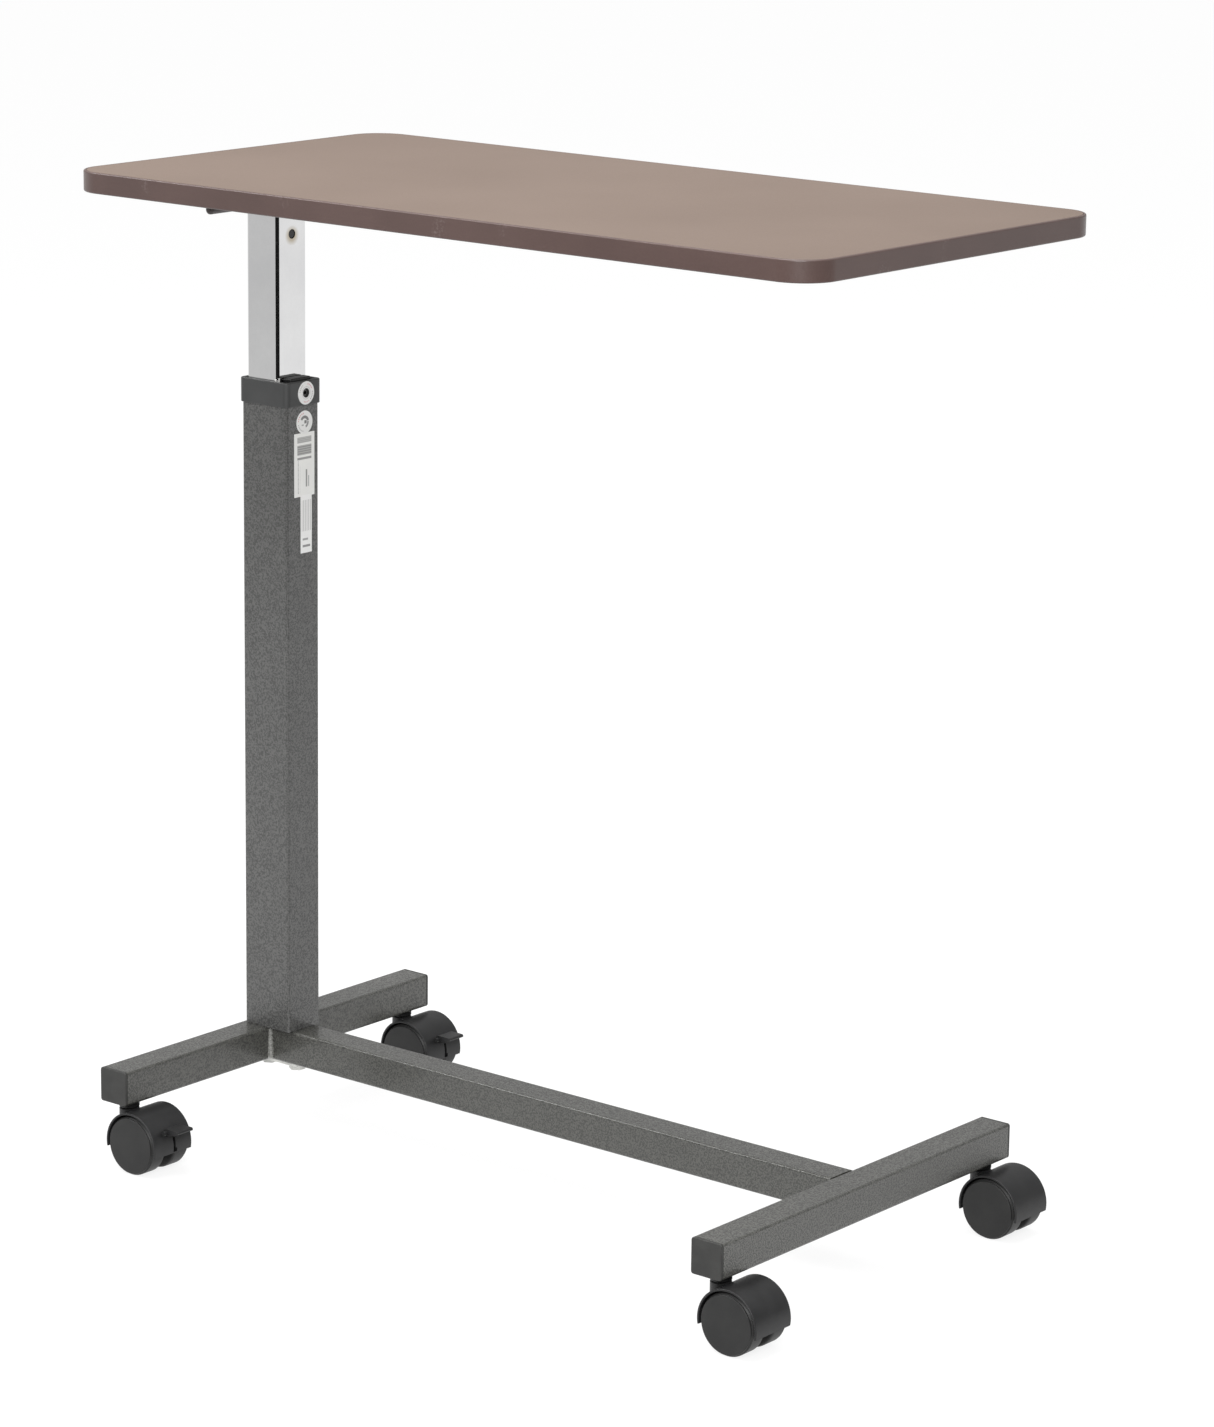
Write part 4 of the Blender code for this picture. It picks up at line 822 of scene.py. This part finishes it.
class Printing:
    """Marks printed on a flat label that faces +X, placed by (Y, Z) from a point on it."""

    def __init__(self, name, place, colour=PAPER):
        self.finish, self.shader = new_finish(name, Roughness=0.45)
        self.tree = self.finish.node_tree
        where = self.tree.nodes.new("ShaderNodeTexCoord")
        centred = add_node(self.tree, "ShaderNodeMapping", vector_type="POINT")
        centred.inputs["Location"].default_value = (0, -place[0], -place[1])
        split = self.tree.nodes.new("ShaderNodeSeparateXYZ")
        link_nodes(self.tree, where, "Object", centred, "Vector")
        link_nodes(self.tree, centred, "Vector", split, "Vector")
        self.across = split.outputs["Y"]
        self.up = split.outputs["Z"]
        paper = cloudy_tone(self.tree, [c * 0.97 for c in colour], colour, 80.0, 2500.0, 0.015)
        self.colour = paper.outputs["Color"]
        relief = add_node(self.tree, "ShaderNodeBump", Strength=0.3, Distance=0.00002)
        link_nodes(self.tree, paper, "Height", relief, "Height")
        link_nodes(self.tree, relief, "Normal", self.shader, "Normal")

    def maths(self, operation, *values):
        made = add_node(self.tree, "ShaderNodeMath", operation=operation)
        for i, value in enumerate(values):
            if isinstance(value, (int, float)):
                made.inputs[i].default_value = value
            else:
                self.tree.links.new(value, made.inputs[i])
        return made.outputs[0]

    def within(self, value, low, high, soft=0.00012):
        """1 where a value lies between two limits, with soft ends."""
        middle = (low + high) / 2
        distance = self.maths("ABSOLUTE", self.maths("SUBTRACT", value, middle))
        level = add_node(self.tree, "ShaderNodeMapRange", From_Min=(high - low) / 2 + soft,
                         From_Max=(high - low) / 2 - soft)
        self.tree.links.new(distance, level.inputs["Value"])
        return level.outputs["Result"]

    def lay(self, mask, colour, strength=1.0):
        over = colour_mix(self.tree)
        over.inputs[7].default_value = (*colour, 1)
        self.tree.links.new(self.maths("MULTIPLY", mask, strength), over.inputs[0])
        self.tree.links.new(self.colour, over.inputs[6])
        self.colour = over.outputs[2]

    def bar(self, y0, y1, z0, z1, colour, strength=1.0):
        """A filled rectangle."""
        self.lay(self.maths("MULTIPLY", self.within(self.across, y0, y1), self.within(self.up, z0, z1)),
                 colour, strength)

    def arc(self, radius, width, start, end, colour, strength=1.0, dashes=0):
        """Part of a ring, with angles in degrees from the +Y side, turning up; dashes break it."""
        distance = self.maths("POWER", self.maths("ADD", self.maths("POWER", self.across, 2.0),
                                                  self.maths("POWER", self.up, 2.0)), 0.5)
        angle = self.maths("ARCTAN2", self.up, self.across)
        inside = self.within(angle, math.radians(start), math.radians(end), 0.03)
        mask = self.maths("MULTIPLY", self.within(distance, radius - width / 2, radius + width / 2), inside)
        if dashes:
            wave = self.maths("SINE", self.maths("MULTIPLY", angle, float(dashes)))
            mask = self.maths("MULTIPLY", mask, self.maths("GREATER_THAN", wave, -0.2))
        self.lay(mask, colour, strength)

    def rules(self, y0, y1, z0, z1, pitch, colour, strength, upright=False):
        """A patch of fine parallel rules."""
        along = self.across if upright else self.up
        wave = self.maths("SINE", self.maths("MULTIPLY", along, math.tau / pitch))
        patch = self.maths("MULTIPLY", self.within(self.across, y0, y1), self.within(self.up, z0, z1))
        self.lay(self.maths("MULTIPLY", patch, self.maths("GREATER_THAN", wave, 0.1)), colour, strength)

    def done(self):
        self.tree.links.new(self.colour, self.shader.inputs["Base Color"])
        return self.finish


ring_print = Printing("ring_sticker_vinyl", (SCREW_Y, SCREW_Z))
for mark in ((0.0052, 0.0006, -175, 175, INK, 0.30),
             (0.0078, 0.0012, 20, 78, FAINT_RED, 0.80, 26),
             (0.0078, 0.0012, -118, -62, FAINT_RED, 0.70, 26),
             (0.0078, 0.0010, 120, 176, INK, 0.55, 30),
             (0.0078, 0.0010, -50, 10, INK, 0.65, 30)):
    ring_print.arc(*mark)
ring_bm = spun([(STICKER_EYE, 0), (STICKER_EYE, STICKER_THICKNESS),
                (STICKER - STICKER_BEVEL, STICKER_THICKNESS), (STICKER, STICKER_THICKNESS / 2), (STICKER, 0)],
               64, (collar_high.x + STUCK_ON, SCREW_Y, SCREW_Z), ALONG_X)
set_piece("ring_sticker", ring_bm, "base", ring_print.done())

# Marks are placed in metres: arcs round the sticker's centre, bars and rules by (Y, Z).
DISC_Z = 0.6275
disc_print = Printing("disc_sticker_vinyl", (SCREW_Y, DISC_Z))
for mark in ((0.0078, 0.0012, 96, 172, FAINT_RED, 0.80, 26),
             (0.0078, 0.0010, -170, -96, INK, 0.50, 30),
             (0.0045, 0.0024, 15, 150, INK, 0.85),
             (0.0042, 0.0020, -70, 8, INK, 0.75)):
    disc_print.arc(*mark)
for mark in ((-0.0002, 0.0026, -0.0012, 0.0016, INK, 0.85),
             (-0.0036, -0.0010, -0.0030, -0.0018, INK, 0.60)):
    disc_print.bar(*mark)
disc_bm = spun([(0, 0), (STICKER, 0), (STICKER, STICKER_THICKNESS / 2),
                (STICKER - STICKER_BEVEL, STICKER_THICKNESS), (0, STICKER_THICKNESS)],
               64, (column_high.x + STUCK_ON, SCREW_Y, DISC_Z), ALONG_X)
set_piece("disc_sticker", disc_bm, "base", disc_print.done())

LABEL_LEFT = -0.0110
LABEL_RIGHT = 0.0143
LABEL_TOP = 0.6185
LABEL_FOOT = 0.5635
TAIL_LEFT = -0.0033
TAIL_RIGHT = 0.0107
TAIL_FOOT = 0.514
PAPER_THICKNESS = 0.0001
PAPER_CORNER = 0.0004

label_print = Printing("label_paper", (0.0, 0.0), (0.84, 0.84, 0.82))
label_print.bar(-0.0070, 0.0105, 0.6100, 0.6150, INK, 0.45)
label_print.rules(-0.0070, 0.0105, 0.6100, 0.6150, 0.0014, INK, 0.35)
label_print.bar(-0.0070, 0.0105, 0.5995, 0.6080, INK, 0.55)
label_print.rules(-0.0070, 0.0105, 0.5995, 0.6080, 0.0019, INK, 0.50)
label_print.bar(-0.0070, 0.0105, 0.5955, 0.5975, INK, 0.70)
for mark in ((-0.0064, -0.0054, 0.5660, 0.5945, 0.0011, INK, 0.75),
             (-0.0040, -0.0034, 0.5660, 0.5900, 0.0013, INK, 0.35)):
    label_print.rules(*mark)
for mark in ((0.0034, 0.0052, 0.5715, 0.5865, INK, 0.75),
             (0.0064, 0.0076, 0.5715, 0.5810, INK, 0.55)):
    label_print.bar(*mark)
label_x = column_high.x + STUCK_ON
label_bm = box_between((label_x, LABEL_LEFT, LABEL_FOOT), (label_x + PAPER_THICKNESS, LABEL_RIGHT, LABEL_TOP))
round_edges(label_bm, edges_along(label_bm, 0), PAPER_CORNER, 3)
set_piece("paper_label", label_bm, "base", label_print.done())
tail_print = Printing("tail_label_paper", (0.0, 0.0), (0.88, 0.88, 0.87))
tail_print.rules(-0.0016, 0.0094, 0.5330, 0.5600, 0.0021, INK, 0.42, upright=True)
for mark in ((-0.0008, 0.0086, 0.5190, 0.5210, INK, 0.75),
             (-0.0008, 0.0060, 0.5250, 0.5268, INK, 0.65)):
    tail_print.bar(*mark)
tail_x = label_x + PAPER_THICKNESS + STUCK_ON
tail_bm = box_between((tail_x, TAIL_LEFT, TAIL_FOOT),
                      (tail_x + PAPER_THICKNESS, TAIL_RIGHT, LABEL_FOOT + 0.001))
round_edges(tail_bm, edges_along(tail_bm, 0), PAPER_CORNER, 3)
set_piece("tail_label", tail_bm, "base", tail_print.done())

# ---------------------------------------------------------------------------------------------
# Base tubes. Two cross bars and the spine between them, square steel tube in a darker hammertone
# than the column, with round corners that glint along their length.
BAR_CORNER = 0.0024
BAR_WALL = 0.0016
SOCKET_HOLE = 0.0071

base_paint = hammered_finish("base_hammertone", (0.030, 0.030, 0.027), (0.084, 0.084, 0.075))
for node, axis in (("rear_cross_tube", 1), ("front_cross_tube", 1), ("spine_tube", 0)):
    tube_low, tube_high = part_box(node)
    tube_bm = square_tube(tube_low, tube_high, axis, BAR_CORNER, BAR_WALL)
    if axis == 1:
        holes = []
        for side in ("near", "far"):
            socket_low, socket_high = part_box(f"{node.split('_')[0]}_{side}_socket")
            middle = (socket_low + socket_high) / 2
            holes.append(("DIFFERENCE", drill(SOCKET_HOLE, 0.01, 32, (middle.x, middle.y, tube_low.z))))
        tube_bm = worked(tube_bm, *holes)
    set_piece(node.replace("_tube", "_bar"), tube_bm, "base", base_paint, [node], sharp=30)

# ---------------------------------------------------------------------------------------------
# Welds. Painted-over beads up the inside corners where the spine meets each cross bar; each is a
# slim ridge that spreads towards its foot, rippled by the torch; their paint is made far paler
# than the base paint, a painted highlight for the light the beads catch.
rear_low, rear_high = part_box("rear_cross_tube")
front_low, front_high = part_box("front_cross_tube")
spine_low, spine_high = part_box("spine_tube")
RIPPLE_STEPS = 26
BEAD_TOP = 0.0044
BEAD_FOOT = 0.0074
BEAD_SHORT = 0.0012
# The beads' paint is much paler than the base hammertone: a painted highlight, not a different paint.
weld_highlight_paint = hammered_finish("weld_hammertone_painted_highlight", (0.13, 0.13, 0.12), (0.24, 0.24, 0.225))


def weld_bead(x, y, phase):
    """A rippled upright ridge in a corner, a little wider at its foot."""
    height = spine_high.z - spine_low.z - 2 * BEAD_SHORT
    bm = bmesh.new()
    bmesh.ops.create_circle(bm, segments=12, radius=1.0, cap_ends=True)
    tip = bm.faces[:]
    for step in range(RIPPLE_STEPS):
        grown = bmesh.ops.extrude_face_region(bm, geom=tip)["geom"]
        verts = [part for part in grown if isinstance(part, bmesh.types.BMVert)]
        if step:
            bmesh.ops.delete(bm, geom=tip, context="FACES_ONLY")
        tip = [part for part in grown if isinstance(part, bmesh.types.BMFace)]
        bmesh.ops.translate(bm, vec=(0, 0, 1 / RIPPLE_STEPS), verts=verts)
    for vert in bm.verts:
        share = vert.co.z
        radius = (BEAD_FOOT + (BEAD_TOP - BEAD_FOOT) * share) / 2
        radius *= 1 + 0.10 * math.sin(38 * share + phase) + 0.05 * math.sin(91 * share + 2 * phase)
        if share < 1e-6 or share > 1 - 1e-6:
            radius *= 0.6
        vert.co.x = x + vert.co.x * radius
        vert.co.y = y + vert.co.y * radius
        vert.co.z = spine_low.z + BEAD_SHORT + share * height
    weld_and_face_out(bm)
    return bm


number = 0
for x in (rear_high.x, front_low.x):
    for y in (spine_low.y, spine_high.y):
        number += 1
        bead_bm = weld_bead(x, y, 1.7 * number)
        set_piece(f"weld_bead_{number}", bead_bm, "base", weld_highlight_paint, sharp=60)

# ---------------------------------------------------------------------------------------------
# End caps. Black moulded plugs pressed into the four tube ends, with a thin flange the size of
# the tube and eased edges.
CAP_FLANGE = 0.0025
CAP_EDGE = 0.0009
PLUG_INSET = 0.0019
PLUG_OVERLAP = 0.0005

cap_plastic = cloudy_finish("cap_plastic", (0.026, 0.026, 0.025), (0.036, 0.036, 0.034), 70.0, 1300.0, 0.10,
                            (0.42, 0.56), 0.00008, Specular_IOR_Level=0.4)
for end in ("rear", "front"):
    for side, sign in (("near", -1), ("far", 1)):
        cap_low, cap_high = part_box(f"{end}_{side}_end_cap")
        outer = cap_low.y if sign < 0 else cap_high.y
        inner = outer - sign * CAP_FLANGE
        plate_bm = box_between((cap_low.x, min(outer, inner), cap_low.z),
                               (cap_high.x, max(outer, inner), cap_high.z))
        round_edges(plate_bm, edges_along(plate_bm, 1), BAR_CORNER, TUBE_STEPS)
        rim = [e for e in plate_bm.edges if all(abs(v.co.y - outer) < 1e-6 for v in e.verts)]
        round_edges(plate_bm, rim, CAP_EDGE, 4)
        plug_end = cap_high.y if sign < 0 else cap_low.y
        reach = sorted((inner + sign * PLUG_OVERLAP, plug_end))
        plug_bm = box_between((cap_low.x + PLUG_INSET, reach[0], cap_low.z + PLUG_INSET),
                              (cap_high.x - PLUG_INSET, reach[1], cap_high.z - PLUG_INSET))
        round_edges(plug_bm, edges_along(plug_bm, 1), 0.0012, 3)
        cap_bm = worked(plate_bm, ("UNION", plug_bm))
        set_piece(f"{end}_{side}_tube_plug", cap_bm, "base", cap_plastic,
                  [f"{end}_{side}_end_cap"])

# ---------------------------------------------------------------------------------------------
# Bolted foot. A zinc strap and two flanged hex bolts under the base, which pull the column's
# foot block down onto the rear bar and the spine.
STRAP_CORNER = 0.003
STRAP_EDGE = 0.0004
BOLT_HEAD = 0.0075
BOLT_SHANK = 0.004
BOLT_SUNK = 0.0007

plate_low, plate_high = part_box("bolt_plate")
strap_bm = box_between(plate_low, plate_high)
round_edges(strap_bm, edges_along(strap_bm, 2), STRAP_CORNER, 5)
level_edges = [e for e in strap_bm.edges if abs(e.verts[0].co.z - e.verts[1].co.z) < 1e-7]
round_edges(strap_bm, level_edges, STRAP_EDGE, 2)
strap_zinc = cloudy_finish("bright_zinc", (0.55, 0.55, 0.53), (0.68, 0.68, 0.65), 120.0, 1500.0, 0.05,
                           (0.30, 0.44), 0.00004, Metallic=0.6)
set_piece("bolt_strap", strap_bm, "base", strap_zinc, ["bolt_plate"])
for node in ("rear_bolt", "spine_bolt"):
    bolt_low, bolt_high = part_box(node)
    middle = (bolt_low + bolt_high) / 2
    head = plate_low.z - GAP - bolt_low.z
    shank_top = bolt_high.z - bolt_low.z - BOLT_SUNK
    head_bm = bmesh.new()
    bmesh.ops.create_cone(head_bm, cap_ends=True, segments=6, radius1=BOLT_HEAD, radius2=BOLT_HEAD,
                          depth=head, matrix=Matrix.Translation((middle.x, middle.y, bolt_low.z + head / 2)))
    round_edges(head_bm, head_bm.edges[:], 0.0005, 3)
    shank_bm = spun([(0, 0), (BOLT_SHANK, 0), (BOLT_SHANK, shank_top - 0.0008),
                     (BOLT_SHANK - 0.0008, shank_top), (0, shank_top)], 24,
                    (middle.x, middle.y, bolt_low.z + BOLT_SUNK))
    bolt_bm = worked(head_bm, ("UNION", shank_bm))
    set_piece(f"hex_{node}", bolt_bm, "base", strap_zinc, [node])

# ---------------------------------------------------------------------------------------------
# Castor sockets. A moulded neck below each bar end, with a sleeve up inside the tube that grips
# the swivel stem.
NECK_EDGE = 0.0010
STEM_BORE = 0.0043
SLEEVE = 0.0068

castor_plastic = cloudy_finish("castor_plastic", (0.011, 0.011, 0.0115), (0.016, 0.016, 0.0165), 60.0,
                               1300.0, 0.10, (0.36, 0.48), 0.00007, Specular_IOR_Level=0.38)
wheel_plastic = cloudy_finish("wheel_plastic", (0.016, 0.016, 0.016), (0.022, 0.022, 0.0215), 45.0,
                              1500.0, 0.06, (0.40, 0.52), 0.00005, Specular_IOR_Level=0.32)
castors = [(end, side) for end in ("rear", "front") for side in ("near", "far")]
for end, side in castors:
    socket_low, socket_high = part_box(f"{end}_{side}_socket")
    middle = (socket_low + socket_high) / 2
    neck = (socket_high.x - socket_low.x) / 2
    neck_top = rear_low.z - GAP
    socket_bm = spun([(STEM_BORE, socket_low.z),
                      *arc_points((neck - NECK_EDGE, socket_low.z + NECK_EDGE), NECK_EDGE, -90, 0, 4),
                      (neck, neck_top - 0.0004), (neck - 0.0004, neck_top), (SLEEVE, neck_top),
                      (SLEEVE, socket_high.z), (STEM_BORE, socket_high.z)], 40, (middle.x, middle.y, 0))
    set_piece(f"{end}_{side}_neck", socket_bm, "base", castor_plastic,
              [f"{end}_{side}_socket"])

# ---------------------------------------------------------------------------------------------
# Castor hoods. One black moulding per castor: an arch over both wheels, a web between them and a
# boss that takes the stem; the two braked ones have a slot for a pedal.
HOOD_OUTER = 0.029
HOOD_INNER = 0.0271
HOOD_HALF = 0.0225
WEB_HALF = 0.0052
RIM_ROUND = 0.0009
TRAIL = 0.023
AXLE_Z = 0.0255
HOOD_HEM = 0.020
BOSS = 0.0087
BOSS_FOOT = 0.008
BOSS_EDGE = 0.0006
HUB_RADIUS = 0.0075
WELL_HALF = 0.012
AXLE_BORE = 0.0031
AXLE_RADIUS = 0.003
BRAKE_SLOTS = (((0.0195, 0.0005, -0.0045), (0.032, 0.0030, 0.0085)),
               ((0.0195, 0.0005, -0.0045), (0.032, 0.0048, -0.0010)))
HOOD_DIP = math.degrees(math.asin((AXLE_Z - HOOD_HEM) / HOOD_OUTER))


def hood_shape(stem_x, stem_y, top_z):
    """The arch and web spun round the axle, with the boss joined on."""
    centre = Vector((stem_x + TRAIL, stem_y, AXLE_Z))
    section = (arc_points((HOOD_OUTER - RIM_ROUND, HOOD_HALF - RIM_ROUND), RIM_ROUND, 0, 90, 3)
               + [(HOOD_INNER + 0.0004, HOOD_HALF), (HOOD_INNER, HOOD_HALF - 0.0004), (HOOD_INNER, WEB_HALF),
                  (AXLE_BORE, WEB_HALF), (AXLE_BORE, -WEB_HALF), (HOOD_INNER, -WEB_HALF),
                  (HOOD_INNER, 0.0004 - HOOD_HALF), (HOOD_INNER + 0.0004, -HOOD_HALF)]
               + arc_points((HOOD_OUTER - RIM_ROUND, RIM_ROUND - HOOD_HALF), RIM_ROUND, -90, 0, 3))
    start = math.radians(-HOOD_DIP)
    bm = bmesh.new()
    face = bm.faces.new([bm.verts.new(centre + Vector((r * math.cos(start), y, r * math.sin(start))))
                         for r, y in section])
    bmesh.ops.spin(bm, geom=[face, *face.edges, *face.verts], cent=centre, axis=(0, -1, 0), dvec=(0, 0, 0),
                   angle=math.radians(180 + 2 * HOOD_DIP), steps=48)
    weld_and_face_out(bm)
    hub_bm = round_bar(HUB_RADIUS, 2 * WEB_HALF, 0.0004, 32, centre, ALONG_Y)
    boss_foot = AXLE_Z + BOSS_FOOT
    boss_bm = spun([(0, boss_foot), (BOSS, boss_foot), (BOSS, top_z - BOSS_EDGE), (BOSS - BOSS_EDGE, top_z),
                    (0, top_z)], 40, (stem_x, stem_y, 0))
    wells = [("DIFFERENCE", drill(HOOD_INNER, WELL_HALF, 64,
                                  centre + Vector((0, sign * (WEB_HALF + WELL_HALF), 0)), ALONG_Y))
             for sign in (-1, 1)]
    return bm, [("UNION", hub_bm), ("UNION", boss_bm), *wells]


for end, side in castors:
    name = f"{end}_{side}"
    stem_low, stem_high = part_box(f"{name}_stem")
    stem = (stem_low + stem_high) / 2
    socket_low, socket_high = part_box(f"{name}_socket")
    top_z = socket_low.z - 2 * GAP
    hood_bm, steps = hood_shape(stem.x, stem.y, top_z)
    if end == "rear":
        place = Vector((stem.x + TRAIL, stem.y, AXLE_Z))
        for low, high in BRAKE_SLOTS:
            steps.append(("DIFFERENCE", box_between(place + Vector(low), place + Vector(high))))
    hood_bm = worked(hood_bm, *steps)
    set_piece(f"{name}_castor_hood", hood_bm, f"{name}_castor", castor_plastic,
              [f"{name}_hood"], sharp=40)
    stem_bm = round_bar((stem_high.x - stem_low.x) / 2, stem_high.z - stem_low.z, 0.0006, 24, stem,
                        Matrix.Identity(4))
    set_piece(f"{name}_stem_pin", stem_bm, f"{name}_castor", zinc_finish, [f"{name}_stem"])
    axle_low, axle_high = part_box(f"{name}_axle")
    axle_bm = round_bar(AXLE_RADIUS, axle_high.y - axle_low.y, 0.0004, 24, (axle_low + axle_high) / 2,
                        ALONG_Y)
    set_piece(f"{name}_axle_pin", axle_bm, f"{name}_castor", zinc_finish, [f"{name}_axle"])

# ---------------------------------------------------------------------------------------------
# Castor wheels. Twin moulded discs with plain, slightly crowned faces and a round tread edge,
# turning on the axle each side of the hood's web.
FACE_STEP = 0.0012
FACE_EDGE = 0.0008
WHEEL_BORE = 0.0033
HUB_RECESS = 0.0042

for end, side in castors:
    for wheel, sign in (("near", -1), ("far", 1)):
        node = f"{end}_{side}_{wheel}_wheel"
        wheel_low, wheel_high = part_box(node)
        middle = (wheel_low + wheel_high) / 2
        radius = (wheel_high.z - wheel_low.z) / 2
        axle_low, axle_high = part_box(f"{end}_{side}_axle")
        castor_y = (axle_low.y + axle_high.y) / 2
        face = (wheel_high.y - castor_y) if sign > 0 else (castor_y - wheel_low.y)
        inner = WEB_HALF + GAP
        rim = face - 0.0005
        disc = radius - FACE_STEP
        outline = ([(0, face), (radius * 0.3, face - 0.00004), (radius * 0.6, face - 0.00018),
                    (radius * 0.8, face - 0.00034)]
                   + arc_points((disc - FACE_EDGE, rim - FACE_EDGE), FACE_EDGE, 90, 0, 5)
                   + [(disc, rim - 0.0016), (radius - 0.0008, rim - 0.0020), (radius, rim - 0.0028),
                      (radius, inner + 0.002), (radius - 0.0008, inner + 0.0006), (radius - 0.002, inner),
                      (WHEEL_BORE, inner), (WHEEL_BORE, face - HUB_RECESS), (0, face - HUB_RECESS)])
        outward = Matrix.Rotation(-sign * math.pi / 2, 4, "X")
        wheel_bm = spun(outline, 72, (middle.x, castor_y, middle.z), outward)
        set_piece(f"{end}_{side}_{wheel}_disc", wheel_bm, f"{end}_{side}_{wheel}_wheel", wheel_plastic,
                  [node], sharp=30)

# ---------------------------------------------------------------------------------------------
# Brake pedals. A short moulded pedal behind each castor under the column, pivoting in the hood's
# slot and pressed down by foot; it keeps its CAD shape.
for side in ("near", "far"):
    carried(f"rear_{side}_brake_pedal", castor_plastic)
